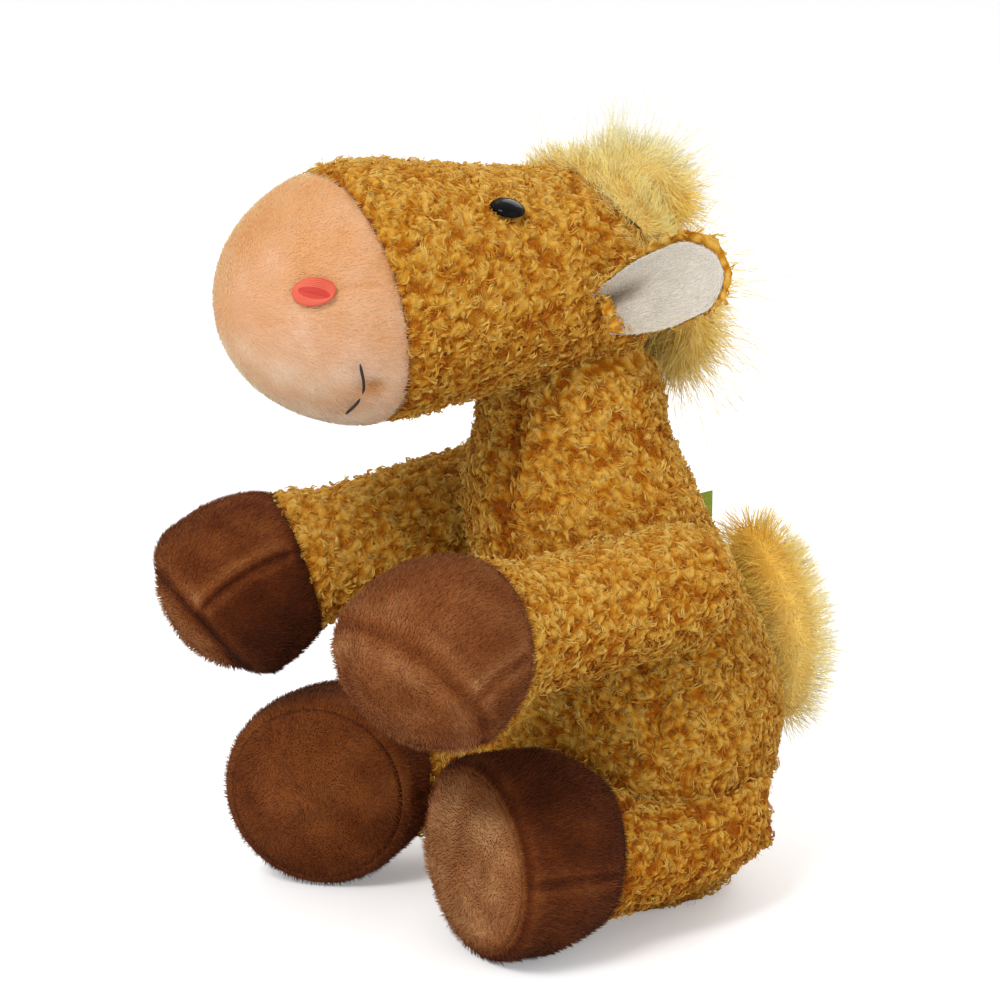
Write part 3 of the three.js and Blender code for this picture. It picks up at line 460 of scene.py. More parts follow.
class Skin:
    """A form's cloth as a grid of points, from which pieces are cut by zone.

    The sink function says how far the cloth is drawn in. The tone function is given the grid's place, turn, points,
    drawn_in, raised and out, and answers with a tone from dark 0 to light 1.
    """

    def __init__(self, form, inset, cell, tone, sink=None, puff=0.0, puff_size=2.7, floor=0.0):
        self.form = form
        start = inset if form.round_start else 0
        end = form.length - (inset if form.round_end else 0)
        t = np.linspace(0, 1, int((end - start) / cell * 1.15) + 1)
        self.place = start + (end - start) * 0.5 * (t + (1 - np.cos(np.pi * t)) / 2)
        girth = 2 * np.pi * max(form.half_width(form.length * 0.4), form.half_width(form.length * 0.8))
        self.turn = np.linspace(0, 2 * np.pi, int(girth / cell), endpoint=False)
        self.places, self.turns = np.meshgrid(self.place, self.turn, indexing="ij")
        points = form.surface(self.places, self.turns, inset)
        drawn_in = sink(self.places, self.turns, points) if sink else np.zeros_like(self.places)
        out = self.normals(points)
        raised = puffs(points, puff_size) if puff else None
        self.tone = np.clip(tone(SimpleNamespace(place=self.places, turn=self.turns, points=points, drawn_in=drawn_in,
                                                 raised=raised, out=out)), 0, 1)
        points = points - out * drawn_in[..., None]
        if puff:
            points = points + out * (puff * (raised - 0.6))[..., None]
        points[..., 2] = np.maximum(points[..., 2], floor)
        self.points = points
        self.nap = -unit(np.gradient(points, axis=0))

    def normals(self, points):
        along = np.gradient(points, axis=0)
        around = np.roll(points, -1, axis=1) - np.roll(points, 1, axis=1)
        out = unit(np.cross(around, along))
        middle = len(self.place) // 2
        centre = self.form.frame(self.places)[0]
        if np.sum(out[middle] * (points[middle] - centre[middle])) < 0:
            out = -out
        tangents = self.form.frame(self.places)[3]
        narrow = np.linalg.norm(around, axis=-1) < 1e-3
        first = np.arange(len(self.place))[:, None] < middle
        tips = np.where(first[..., None], -tangents, tangents)
        return np.where(narrow[..., None], tips, out)

    def piece(self, name, zone, material=None):
        """The faces whose middle is in a zone, as one mesh that carries its nap and its tone."""
        rows, columns = self.places.shape
        used, faces = {}, []

        def corner(i, j):
            return used.setdefault((i, j % columns), len(used))

        for i in range(rows - 1):
            place = (self.place[i] + self.place[i + 1]) / 2
            for j in range(columns):
                turn = self.turn[j] + np.pi / columns
                middle = (self.points[i, j] + self.points[i + 1, (j + 1) % columns]) / 2
                if zone(place, turn, middle):
                    faces.append((corner(i, j), corner(i, j + 1), corner(i + 1, j + 1), corner(i + 1, j)))
        piece = new_object(name, [self.points[key] for key in used], faces, material)
        mark(piece, "nap", "FLOAT_VECTOR", np.array([self.nap[key] for key in used], np.float32).ravel())
        mark(piece, "tone", "FLOAT", np.array([self.tone[key] for key in used], np.float32))
        self.turn_out(piece)
        return piece

    def turn_out(self, piece):
        """Merges the points at round tips and turns every face outwards."""
        with opened(piece) as mesh:
            bmesh.ops.remove_doubles(mesh, verts=mesh.verts, dist=0.01 * MM)
            mesh.faces.ensure_lookup_table()
            centres = self.form.centres * MM
            facing = 0
            for face in list(mesh.faces)[::7]:
                middle = face.calc_center_median()
                nearest = np.argmin(np.linalg.norm(centres - np.array(middle), axis=1))
                facing += 1 if face.normal.dot(middle - Vector(centres[nearest])) > 0 else -1
            if facing < 0:
                bmesh.ops.reverse_faces(mesh, faces=mesh.faces)


def closed(piece):
    """Closes a cloth's open ends inside, so that the piece is one full form."""
    with opened(piece) as mesh:
        bmesh.ops.holes_fill(mesh, edges=[e for e in mesh.edges if e.is_boundary], sides=0)
        bmesh.ops.triangulate(mesh, faces=[f for f in mesh.faces if len(f.verts) > 4])
    return piece


# Strands: what stands on the cloth

def strand_mesh(name, strands):
    """Closed tapering strands, each a path with its half widths, as one mesh with the way along and round them."""
    sides = 3
    vertices, faces, along, around = [], [], [], []
    for path, half_width in strands:
        tangents = unit(np.gradient(path, axis=0))
        upright = np.abs(tangents @ UP)[:, None] > 0.95
        side = unit(np.cross(tangents, np.where(upright, ACROSS, UP)))
        high = np.cross(side, tangents)
        first, rings = len(vertices), len(path) - 1
        for i in range(rings):
            vertices += ring(path[i], side[i], high[i], half_width[i], sides, math.pi / 2)
            along += [i / rings] * sides
            around += [abs(2 * k / sides - 1) for k in range(sides)]
        tip = len(vertices)
        vertices.append(path[-1])
        along.append(1.0)
        around.append(0.5)
        faces.append(tuple(range(first, first + sides)))
        for k in range(sides):
            a, b = first + k, first + (k + 1) % sides
            for i in range(rings - 1):
                faces.append((a + i * sides, a + (i + 1) * sides, b + (i + 1) * sides, b + i * sides))
            faces.append((a + (rings - 1) * sides, tip, b + (rings - 1) * sides))
    piece = new_object(name, vertices, faces)
    bpy.context.scene.collection.objects.unlink(piece)
    mark(piece, "along", "FLOAT", along)
    mark(piece, "around", "FLOAT", around)
    return piece


def strand_set(name, kinds):
    """A collection of strand meshes for a tree to pick from."""
    group = bpy.data.collections.new(name)
    for index, strands in enumerate(kinds):
        group.objects.link(strand_mesh(f"{name}_{index:02d}", strands))
    return group


def lock(seed):
    """A lock of fleece: a few crimped fibres side by side, curled over the backing, that meet at their tips."""
    fibres, length, height, gap, width = 3, 4.0, 1.15, 0.4, 0.35
    random = np.random.default_rng(seed)
    t = np.linspace(0, 1, 4)
    sweep, wave, phase = random.uniform(60, 240), random.uniform(25, 60), random.uniform(0, 6)
    reach = length * random.uniform(0.8, 1.2)
    strands = []
    for k in range(fibres):
        turn = np.radians(sweep * t + wave * np.sin(5 * t + phase) + random.uniform(-12, 12))
        step = reach * random.uniform(0.8, 1.15) / 3
        x = np.concatenate([[0], np.cumsum(np.cos(turn[:-1]))]) * step
        y = np.concatenate([[0], np.cumsum(np.sin(turn[:-1]))]) * step
        aside = (k - (fibres - 1) / 2) * gap * (1 - 0.8 * t)
        lift = height * random.uniform(0.6, 1.3) * np.sin(np.pi * np.clip(t * 0.8 + 0.1, 0, 1)) - 0.3
        path = np.stack([x - reach / 4 - np.sin(turn) * aside, y + np.cos(turn) * aside, lift], axis=-1)
        strands.append((path, width / 2 * (1.1 - 0.2 * t)))
    return strands


def hair(seed, bend, width, steps):
    """A hair one millimetre long that bends a little and thins towards its tip."""
    random = np.random.default_rng(seed)
    t = np.linspace(0, 1, steps)
    way = random.uniform(0, 2 * math.pi)
    sweep = bend * random.uniform(0.3, 1.3) * t**2 + 0.12 * bend * np.sin(t * random.uniform(3, 8))
    path = np.stack([sweep * math.cos(way), sweep * math.sin(way), t - 0.04], axis=-1)
    return [(path, width / 2 * (1 - 0.6 * t))]


def planting_tree(name, strands, material):
    """A tree that plants strands over a cloth, toned by the cloth's own tone.

    Each strand leans along the cloth's nap, leans with its neighbours (comb) and by itself (wander).
    """
    tree = bpy.data.node_groups.new(name, "GeometryNodeTree")
    tree.interface.new_socket("Geometry", in_out="INPUT", socket_type="NodeSocketGeometry")
    for label, default in (("Spacing", 0.002), ("Lean", 0.0), ("Comb", 0.0), ("Comb Size", 0.008), ("Wander", 0.3),
                           ("Thinnest", 0.9), ("Thickest", 1.1), ("Shortest", 0.8), ("Longest", 1.2),
                           ("Long Rarity", 1.0), ("Tone Spread", 0.3)):
        socket = tree.interface.new_socket(label, in_out="INPUT", socket_type="NodeSocketFloat")
        socket.default_value = default
    seed = tree.interface.new_socket("Seed", in_out="INPUT", socket_type="NodeSocketInt")
    seed.default_value = 1
    tree.interface.new_socket("Geometry", in_out="OUTPUT", socket_type="NodeSocketGeometry")
    given = add(tree, "NodeGroupInput").outputs

    maths = partial(number, tree)

    def vectors(operation, first, second):
        key = "Scale" if operation == "SCALE" else 1
        return add(tree, "ShaderNodeVectorMath", {0: first, key: second}, operation=operation).outputs[0]

    def chance(low, high, shift):
        seed = maths("ADD", given["Seed"], float(shift))
        return add(tree, "FunctionNodeRandomValue", {2: low, 3: high, "Seed": seed}, data_type="FLOAT").outputs[1]

    def named(label, data_type="FLOAT"):
        return add(tree, "GeometryNodeInputNamedAttribute", {"Name": label}, data_type=data_type).outputs[0]

    density = maths("DIVIDE", 2.2, maths("POWER", given["Spacing"], 2.0))
    planted = add(tree, "GeometryNodeDistributePointsOnFaces",
                  {"Mesh": given["Geometry"], "Distance Min": given["Spacing"], "Density Max": density,
                   "Seed": given["Seed"]},
                  distribute_method="POISSON")
    place = add(tree, "GeometryNodeInputPosition").outputs[0]
    comb_scale = maths("DIVIDE", 1.0, given["Comb Size"])
    combed = noise_texture(tree, place, comb_scale, Detail=1.0)["Color"]
    combing = vectors("SCALE", vectors("SUBTRACT", combed, (0.5, 0.5, 0.5)), maths("MULTIPLY", given["Comb"], 4.0))
    astray = add(tree, "FunctionNodeRandomValue", {0: (-1, -1, -1), 1: (1, 1, 1), "Seed": given["Seed"]},
                 data_type="FLOAT_VECTOR").outputs[0]
    leaning = vectors("ADD", vectors("SCALE", named("nap", "FLOAT_VECTOR"), given["Lean"]), combing)
    way = vectors("ADD", vectors("ADD", planted.outputs["Normal"], leaning), vectors("SCALE", astray, given["Wander"]))
    aimed = add(tree, "FunctionNodeAlignRotationToVector", {"Vector": way}, axis="Z").outputs[0]
    spin = add(tree, "ShaderNodeCombineXYZ", {2: chance(0.0, 2 * math.pi, 11)}).outputs[0]
    turning = add(tree, "FunctionNodeEulerToRotation", {0: spin}).outputs[0]
    spun = add(tree, "FunctionNodeRotateRotation", {0: aimed, 1: turning}, rotation_space="LOCAL").outputs[0]
    thick = chance(given["Thinnest"], given["Thickest"], 23)
    share = maths("POWER", chance(0.0, 1.0, 37), given["Long Rarity"])
    long = add(tree, "ShaderNodeMapRange", {0: share, 3: given["Shortest"], 4: given["Longest"]}).outputs[0]
    size = add(tree, "ShaderNodeCombineXYZ", {0: thick, 1: thick, 2: long}).outputs[0]
    spread = maths("MULTIPLY", chance(-0.5, 0.5, 53), given["Tone Spread"])
    tone = maths("ADD", named("tone"), spread, use_clamp=True)
    column = maths("FLOOR", maths("MULTIPLY", tone, TONES - 0.001))
    toned = add(tree, "GeometryNodeStoreNamedAttribute",
                {"Geometry": planted.outputs["Points"], "Name": "column", "Value": column},
                data_type="FLOAT", domain="POINT").outputs[0]
    kinds = add(tree, "GeometryNodeCollectionInfo",
                {"Collection": strands, "Separate Children": True, "Reset Children": True})
    placed = add(tree, "GeometryNodeInstanceOnPoints", {
        "Points": toned, "Instance": kinds.outputs[0], "Pick Instance": True, "Rotation": spun,
        "Scale": size}).outputs[0]
    real = add(tree, "GeometryNodeRealizeInstances", {0: placed}).outputs[0]
    u = maths("DIVIDE", maths("ADD", named("column"), maths("MULTIPLY_ADD", named("around"), 0.8, 0.1)), float(TONES))
    v = maths("MULTIPLY_ADD", named("along"), 0.98, 0.01)
    strand_map = add(tree, "ShaderNodeCombineXYZ", {0: u, 1: v}).outputs[0]
    mapped = add(tree, "GeometryNodeStoreNamedAttribute", {"Geometry": real, "Name": "OFBake", "Value": strand_map},
                 data_type="FLOAT2", domain="CORNER").outputs[0]
    finished = add(tree, "GeometryNodeSetMaterial", {"Geometry": mapped, "Material": material}).outputs[0]
    add(tree, "NodeGroupOutput", {0: finished})
    return tree


def plant(name, cloth, tree, **inputs):
    """Plants a tree's strands over a cloth and gives them back as one plain mesh that casts no shadow."""
    grown = cloth.copy()
    grown.data = cloth.data.copy()
    bpy.context.scene.collection.objects.link(grown)
    modifier = grown.modifiers.new("planting", "NODES")
    modifier.node_group = tree
    sockets = {s.name: s.identifier for s in tree.interface.items_tree if s.in_out == "INPUT"}
    for label, value in inputs.items():
        size = value * MM if label in ("spacing", "comb_size") else value
        modifier[sockets[label.replace("_", " ").title()]] = size
    mesh = bpy.data.meshes.new_from_object(grown.evaluated_get(bpy.context.evaluated_depsgraph_get()))
    bpy.data.objects.remove(grown)
    mesh.name = name
    made = placed(name, mesh)
    for label in ("along", "around", "column", "nap", "tone"):
        attribute = mesh.attributes.get(label)
        if attribute:
            mesh.attributes.remove(attribute)
    made.visible_shadow = False
    return made


def belongs(piece, body, slot, *replaced):
    """A finished piece rides on a body and stands for CAD nodes; slot is not used."""
    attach(piece, body)
    if replaced:
        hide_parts(*replaced)


def sew(skin, name, zone, ground, body, slot, replaced):
    """A closed and padded piece of cloth in place of CAD nodes."""
    piece = closed(skin.piece(name, zone, ground))
    belongs(piece, body, slot, *replaced)


# Materials of this toy

# Polyester fleece with a tight permanent crimp, dull; its tones carry painted shade, deep orange between the locks and
# in the foot under them, and painted light, pale on the tops of the puffs and the tips
FLEECE_TONES = [(0.0, "#aa620e"), (0.3, "#c6902e"), (0.65, "#d2a84c"), (1.0, "#d6b464")]
FLEECE_FOOT = [(0.0, "#924604"), (0.3, "#b07012"), (0.7, "#c89638"), (1.0, "#d2a852")]
fleece = strand_material("curly polyester fleece", FLEECE_TONES, "#f0d8b0", 0.95, 0.1, "#f0c888", 0.1)
fleece_ground = backing_material("fleece foot", FLEECE_FOOT, 0.35, 0.2)

# Short sheared plush: soft, with a bloom of light at grazing angles
MUZZLE_TONES = [(0.0, "#c87c5a"), (0.3, "#cc9260"), (0.6, "#d3a07a"), (0.8, "#dab092"), (1.0, "#e6c8b0")]
muzzle_pile = strand_material("peach sheared plush", MUZZLE_TONES, "#fff8f2", 0.95, 0.15, "#ffe6d2", 0.8)
muzzle_ground = backing_material("peach foot", MUZZLE_TONES, 0.6, 0.08)
HOOF_TONES = [(0.0, "#331203"), (0.3, "#572609"), (0.6, "#7c451f"), (0.85, "#95623a"), (1.0, "#b58658")]
hoof_pile = strand_material("brown sheared plush", HOOF_TONES, "#c8a488", 0.85, 0.12, "#c07840")
hoof_ground = backing_material("brown foot", HOOF_TONES, 0.6, 0.1)
LINING_TONES = [(0.0, "#86786a"), (0.5, "#c2b8aa"), (1.0, "#d8d0c6")]
lining_pile = strand_material("white sheared plush", LINING_TONES, "#fbf8f4", 0.95, 0.1, "#ffffff", 0.5)
lining_ground = backing_material("white foot", LINING_TONES, 0.5, 0.08)

# Long straight faux fur: pale, slightly glossy fibre, golden where it is dense at the root; the darkening towards the
# root is painted shade
MANE_TONES = [(0.0, "#f0cc58"), (0.5, "#ece09a"), (1.0, "#efeede")]
mane_fur = strand_material("pale long faux fur", MANE_TONES, "#f2dc9c", 0.7, 0.2, "#fff4d8", 0.15)
# The mane's foot is darker than its hair, so that the gaps read as shade deep in the fur: painted shade.
mane_ground = backing_material("mane foot", [(0.0, "#d4ac50"), (1.0, "#dcc884")], 0.8, 0.1)
TAIL_TONES = [(0.0, "#fcd450"), (0.45, "#f6e088"), (1.0, "#f0ebca")]
tail_fur = strand_material("yellow long faux fur", TAIL_TONES, "#fce6a8", 0.7, 0.2, "#fff4d8", 0.15)
tail_ground = backing_material("tail foot", [(0.0, "#f0c450"), (1.0, "#f0dc90")], 0.8, 0.1)

# Polished acrylic safety eye: a black dome that mirrors the lamp sharply
eye_gloss = plain_material("polished acrylic", "#0b0a0a", 0.06, IOR=1.16)
# Moulded polyethylene lock washer, slightly waxy
washer_plastic = plain_material("moulded polyethylene", "#e9e7e0", 0.45, 0.6)
# Spun threads and woven ribbons
black_thread = plain_material("black cotton thread", "#2a2120", 0.85, 0.25)
coral_thread = plain_material("coral rayon thread", "#dc5e42", 0.55, 0.3)
# The red threads of the nostril's inner rings and slit stand for the shade in its hollow: painted shade.
throat_shade_thread = plain_material("rayon thread in painted throat shade", "#cc3828", 0.6, 0.3)
slit_shade_thread = plain_material("rayon thread in painted slit shade", "#bc3428", 0.7, 0.3)
olive_ribbon = plain_material("olive woven ribbon", "#8a9a2a", 0.8, 0.4)
green_ribbon = plain_material("green woven ribbon", "#7fa585", 0.8, 0.4)


# Camera, light and floor

CAMERA_AZIMUTH, CAMERA_ELEVATION, CAMERA_DISTANCE = 60, 13, 1000
CAMERA_TARGET = (0, -38.7, 115.4)
PIXELS_PER_MM, PICTURE_WIDTH = 3.7, 1000
SENSOR_WIDTH = 36

# Each lamp's place and size in metres, and its watts
LAMPS = {"key": ((0.55, -1.1, 1.35), 0.6, 18), "fill": ((1.3, 0.3, 0.6), 1.0, 3), "rim": ((-0.7, 0.9, 1.0), 0.8, 5)}
LAMP_AIM = Vector((0, -0.03, 0.1))
WORLD_LEVEL, FLOOR_GLOW, FLOOR_REACH = 0.76, 0.26, 3000


def place_camera():
    azimuth, elevation = math.radians(CAMERA_AZIMUTH), math.radians(CAMERA_ELEVATION)
    level = math.cos(elevation)
    back = Vector((math.sin(azimuth) * level, -math.cos(azimuth) * level, math.sin(elevation)))
    camera = placed("camera", bpy.data.cameras.new("camera"))
    camera.location = (Vector(CAMERA_TARGET) + back * CAMERA_DISTANCE) * MM
    camera.rotation_euler = back.to_track_quat("Z", "Y").to_euler()
    camera.data.sensor_width = SENSOR_WIDTH
    camera.data.lens = SENSOR_WIDTH * CAMERA_DISTANCE * PIXELS_PER_MM / PICTURE_WIDTH
    camera.data.clip_start = 0.05
    bpy.context.scene.camera = camera


def studio():
    scene = bpy.context.scene
    scene.view_settings.view_transform = "Standard"
    scene.world = bpy.data.worlds.new("studio")
    scene.world.use_nodes = True
    tree = scene.world.node_tree
    tree.nodes.clear()
    path = add(tree, "ShaderNodeLightPath").outputs
    seen = number(tree, "MAXIMUM", path["Is Camera Ray"], path["Is Glossy Ray"])
    seen = number(tree, "MAXIMUM", seen, path["Is Transmission Ray"])
    level = add(tree, "ShaderNodeMix", {0: seen, 2: WORLD_LEVEL, 3: 1.0}, data_type="FLOAT").outputs[0]
    shown = add(tree, "ShaderNodeBackground", {0: (1, 1, 1, 1), 1: level})
    add(tree, "ShaderNodeOutputWorld", {0: shown.outputs[0]})
    for name, (place, size, watts) in LAMPS.items():
        light = placed(name, bpy.data.lights.new(name, "AREA"))
        light.data.shape = "SQUARE"
        light.data.size = size
        light.data.energy = watts
        light.location = place
        light.rotation_euler = (Vector(place) - LAMP_AIM).to_track_quat("Z", "Y").to_euler()


def lay_floor():
    corners = [(x * FLOOR_REACH, y * FLOOR_REACH, 0) for x, y in ((-1, -1), (1, -1), (1, 1), (-1, 1))]
    material, tree, shader = new_material("white sweep")
    floor = new_object("floor", corners, [(0, 1, 2, 3)], material)
    glow = number(tree, "MULTIPLY", add(tree, "ShaderNodeLightPath").outputs["Is Camera Ray"], FLOOR_GLOW)
    feed(tree, shader, {"Base Color": (0.9, 0.9, 0.9, 1), "Roughness": 0.9, "Emission Color": (1, 1, 1, 1),
                        "Emission Strength": glow})


place_camera()
studio()
lay_floor()


# Strands and their trees

locks = strand_set("lock", [lock(seed) for seed in range(LOCK_KINDS)])
spikes = strand_set("spike", [[(np.array([[0, 0, -0.2], [0.1 * k, 0, 1]]), np.array([0.17, 0]))]
                              for k in range(SPIKE_KINDS)])
fibres = strand_set("fibre", [hair(seed, 1.1, 0.16, 4) for seed in range(HAIR_KINDS)])
short_hairs = strand_set("short_hair", [hair(seed, 0.5, 0.22, 4) for seed in range(HAIR_KINDS)])
hairs = strand_set("hair", [hair(seed, 0.7, 0.16, 5) for seed in range(HAIR_KINDS)])

fleece_tree = planting_tree("curly fleece", locks, fleece)
fuzz_tree = planting_tree("fleece fuzz", fibres, fleece)
hoof_tree = planting_tree("short brown pile", spikes, hoof_pile)
muzzle_tree = planting_tree("short peach pile", spikes, muzzle_pile)
lining_tree = planting_tree("short white pile", spikes, lining_pile)
mane_trees = planting_tree("mane undercoat", short_hairs, mane_fur), planting_tree("long mane fur", hairs, mane_fur)
tail_trees = planting_tree("tail undercoat", short_hairs, tail_fur), planting_tree("long tail fur", hairs, tail_fur)

# Coats: what a tree's inputs are set to, with spacing and comb size in millimetres
FLEECE = dict(spacing=1.55, comb=0.2, wander=0.35, thinnest=0.75, thickest=1.2, shortest=0.7, longest=1.4,
              tone_spread=0.16)
FUZZ = dict(spacing=2.1, comb=0.4, wander=0.8, shortest=1.6, longest=3.6, tone_spread=0.25)
PILE = dict(spacing=0.64, lean=2.6, comb=0.2, comb_size=6, wander=0.2, thinnest=0.8, thickest=1.3, shortest=1.2,
            longest=1.9, tone_spread=0.1)
LINING_PILE = {**PILE, **dict(spacing=0.46, shortest=0.8, longest=1.3, lean=2.4)}
HOOF_PILE = {**PILE, **dict(lean=1.5, comb=0.4, comb_size=3, wander=0.4, shortest=1.4, longest=2.4, thickest=1.5,
                            tone_spread=0.35)}
SOLE_PILE = {**HOOF_PILE, **dict(lean=0.4, comb=1.6, comb_size=14)}
MANE_UNDERCOAT = dict(spacing=0.62, lean=-0.2, comb=0.5, comb_size=8, wander=0.45, shortest=4.5, longest=10.0,
                      tone_spread=0.4)
CROWN_HAIR = dict(spacing=0.9, lean=-0.3, comb=0.9, comb_size=8, wander=0.4, shortest=8.0, longest=24.5,
                  long_rarity=1.6, thinnest=0.45, thickest=0.85, tone_spread=0.4)
NAPE_HAIR = {**CROWN_HAIR, **dict(lean=-0.5, thinnest=0.6, thickest=1.1, longest=35.0, long_rarity=1.7)}
FRINGE_UNDERCOAT = dict(spacing=0.62, lean=-0.7, comb=0.9, comb_size=7, wander=0.4, shortest=5.0, longest=9.5,
                        tone_spread=0.4)
FRINGE_HAIR = {**FRINGE_UNDERCOAT, **dict(spacing=3.0, lean=-0.2, wander=1.0, shortest=8.0, longest=24.0,
                                          long_rarity=2.0)}
TAIL_UNDERCOAT = dict(spacing=0.62, lean=0.15, comb=0.4, comb_size=7, wander=0.35, shortest=7.5, longest=11.0,
                      tone_spread=0.35)
TAIL_HAIR = {**TAIL_UNDERCOAT, **dict(spacing=1.2, wander=0.45, longest=15.0)}


def everywhere(place, turn, middle):
    return True


def groove(distance, depth, width):
    """How far cloth is drawn in at a seam, from its distance to it."""
    return depth * np.exp(-(distance / width) ** 2)


# Painted light and shade for the fleece: lighter on the tops of the puffs and on faces turned up, darker in the gaps
# between puffs and in seam grooves.
def fleece_painted_shade(at):
    return np.clip(0.03 + 0.85 * at.raised - 0.2 * at.drawn_in + 0.12 * at.out[..., 2], 0, 1)


def grow(skin, zone, body, slot, seed, coats):
    """Plants coats of strands, each named and with its tree and inputs, on one zone of a skin."""
    scalp = skin.piece("scalp", zone)
    for name, (tree, inputs) in coats.items():
        belongs(plant(name, scalp, tree, seed=seed, **inputs), body, slot)
    bpy.data.objects.remove(scalp)


def grow_fleece(skin, body, name, zones):
    """Locks with a fuzz of finer fibres over each zone of a fleece skin, one piece of each a zone."""
    for index, zone in enumerate(zones):
        grow(skin, zone, body, "fleece", len(name) + index,
             {f"{name}_{index + 1}": (fleece_tree, FLEECE), f"{name}_fuzz_{index + 1}": (fuzz_tree, FUZZ)})


# Torso

def build_torso():
    def sink(place, turn, points):
        angle = np.degrees(np.arctan2(points[..., 0], -(points[..., 1] + 4)))
        radius = np.hypot(points[..., 0], points[..., 1])
        front = np.radians(angle - FRONT_SEAM_ANGLE) * radius
        above = (np.clip((place - FRONT_SEAM_LOW) / SEAM_FADE, 0, 1)
                 * np.clip((FRONT_SEAM_HIGH - place) / SEAM_FADE, 0, 1))
        return groove(front, 2.4, 3.0) * above

    skin = Skin(torso_form(), FLEECE_DEPTH, FLEECE_CELL, fleece_painted_shade, sink, puff=FLEECE_PUFF, floor=FLEECE_LOWEST)
    sew(skin, "torso_cover", everywhere, fleece_ground, "torso", "fleece",
        ["torso_left_panel", "torso_right_panel", "seat_panel", "torso_stuffing", "seat_pellet_pouch"])

    def sector(index):
        return lambda place, turn, middle: 2 < place < 152 and int(turn / (2 * math.pi) * 3) == index

    grow_fleece(skin, "torso", "torso_fleece", [sector(index) for index in range(3)])


# Head

def ahead_of_seam(points):
    """Signed distance ahead of the muzzle seam's plane."""
    tilt = math.radians(MUZZLE_SEAM_TILT)
    way = np.array([0, -math.cos(tilt), -math.sin(tilt)])
    middle = np.array([0, -MUZZLE_SEAM_FORWARD, CRANIUM_HEIGHT - NOSE_DROP])
    return (points - middle) @ way


def side_turn(degrees_up, side):
    """The turn round a form at an angle above level, on its left (+1) or right (-1)."""
    return math.pi - math.radians(degrees_up) if side > 0 else math.radians(degrees_up)


def build_head(form):
    nostrils = [side_turn(NOSTRIL_RISE, side) for side in (1, -1)]

    def nearest(turn, turns):
        return np.minimum(*(np.abs(turn - one) for one in turns))

    def sink(place, turn, points):
        ahead = ahead_of_seam(points)
        dart = groove(nearest(turn, nostrils) * 34, 0.35, 0.7) * (ahead > 0) * (place < HEAD_BACK + NOSTRIL_FORWARD)
        corner = nearest(turn, np.radians(MOUTH_CORNERS)) * 32
        return groove(ahead, 1.2, 2.0) + dart + groove(np.hypot(corner, place - MOUTH_PLACE + 3.5), 1.5, 3.0)

    skin = Skin(form, FLEECE_DEPTH, FLEECE_CELL, fleece_painted_shade, sink, puff=FLEECE_PUFF)
    sew(skin, "head_cover_cloth", lambda place, turn, middle: ahead_of_seam(middle) < 0, fleece_ground, "head",
        "fleece", ["head_cover", "head_stuffing"])
    grow_fleece(skin, "head", "head_fleece", [
        lambda place, turn, middle: middle[0] >= 0 and ahead_of_seam(middle) < -0.3,
        lambda place, turn, middle: middle[0] < 0 and ahead_of_seam(middle) < -0.3])

    def tone(at):
        pale = 0.4 + 0.5 * np.clip(0.3 - at.out[..., 2] * 0.8, 0, 1)
        # Painted shade: the muzzle is darker where it is drawn into the nostril darts and the mouth's corners.
        painted_crease_shade = np.where(ahead_of_seam(at.points) > 5, at.drawn_in, 0)
        return pale + 0.45 * (patches(at.points, 12) - 0.5) - 0.45 * painted_crease_shade

    skin = Skin(form, PILE_DEPTH, MUZZLE_CELL, tone, sink)
    sew(skin, "muzzle_cloth", lambda place, turn, middle: ahead_of_seam(middle) >= 0, muzzle_ground, "head",
        "muzzle_pile", ["muzzle_cover"])
    grow(skin, lambda place, turn, middle: ahead_of_seam(middle) >= 0.5, "head", "muzzle_pile",
         MUZZLE_SEED, {"muzzle_pile": (muzzle_tree, PILE)})


# Eyes, nostrils and mouth

def turned(name, profile, at, axis, material):
    """A turned form: (radius, height) points round an axis through a point."""
    sides = 40
    spin = np.array(Vector((0, 0, 1)).rotation_difference(Vector(axis).normalized()).to_matrix())
    vertices, faces = [], []
    for radius, height in profile:
        vertices += ring(np.array(at) + spin[:, 2] * height, spin[:, 0], spin[:, 1], radius, sides)
    for i in range(len(profile) - 1):
        for k in range(sides):
            a, b = i * sides + k, i * sides + (k + 1) % sides
            faces.append((a, b, b + sides, a + sides))
    piece = new_object(name, vertices, faces, material)
    with opened(piece) as mesh:
        bmesh.ops.remove_doubles(mesh, verts=mesh.verts, dist=0.001 * MM)
        bmesh.ops.recalc_face_normals(mesh, faces=mesh.faces)
    return piece


def thread(name, paths, radius, material, closed_loop=False):
    """Round threads along paths, each closed at its ends, as one mesh."""
    sides = 6
    vertices, faces = [], []
    for path in paths:
        path = np.array(path, float)
        count = len(path)
        if closed_loop:
            tangents = unit(np.roll(path, -1, axis=0) - np.roll(path, 1, axis=0))
        else:
            tangents = unit(np.gradient(path, axis=0))
        normal = unit(np.cross(path[-1] - path[0] + 1e-3, path[count // 2] - path[0]))
        side = unit(np.cross(tangents, normal))
        high = np.cross(side, tangents)
        first = len(vertices)
        for i in range(count):
            end = 1 if closed_loop else min(1, 0.35 + min(i, count - 1 - i))
            vertices += ring(path[i], side[i], high[i], radius * end, sides)
        for i in range(count if closed_loop else count - 1):
            for k in range(sides):
                a, b, c, d = (first + row % count * sides + step % sides
                              for row, step in ((i, k), (i, k + 1), (i + 1, k), (i + 1, k + 1)))
                faces.append((a, c, d, b))
        if not closed_loop:
            faces.append(tuple(range(first, first + sides)))
            faces.append(tuple(reversed(range(first + (count - 1) * sides, first + count * sides))))
    return new_object(name, vertices, faces, material)


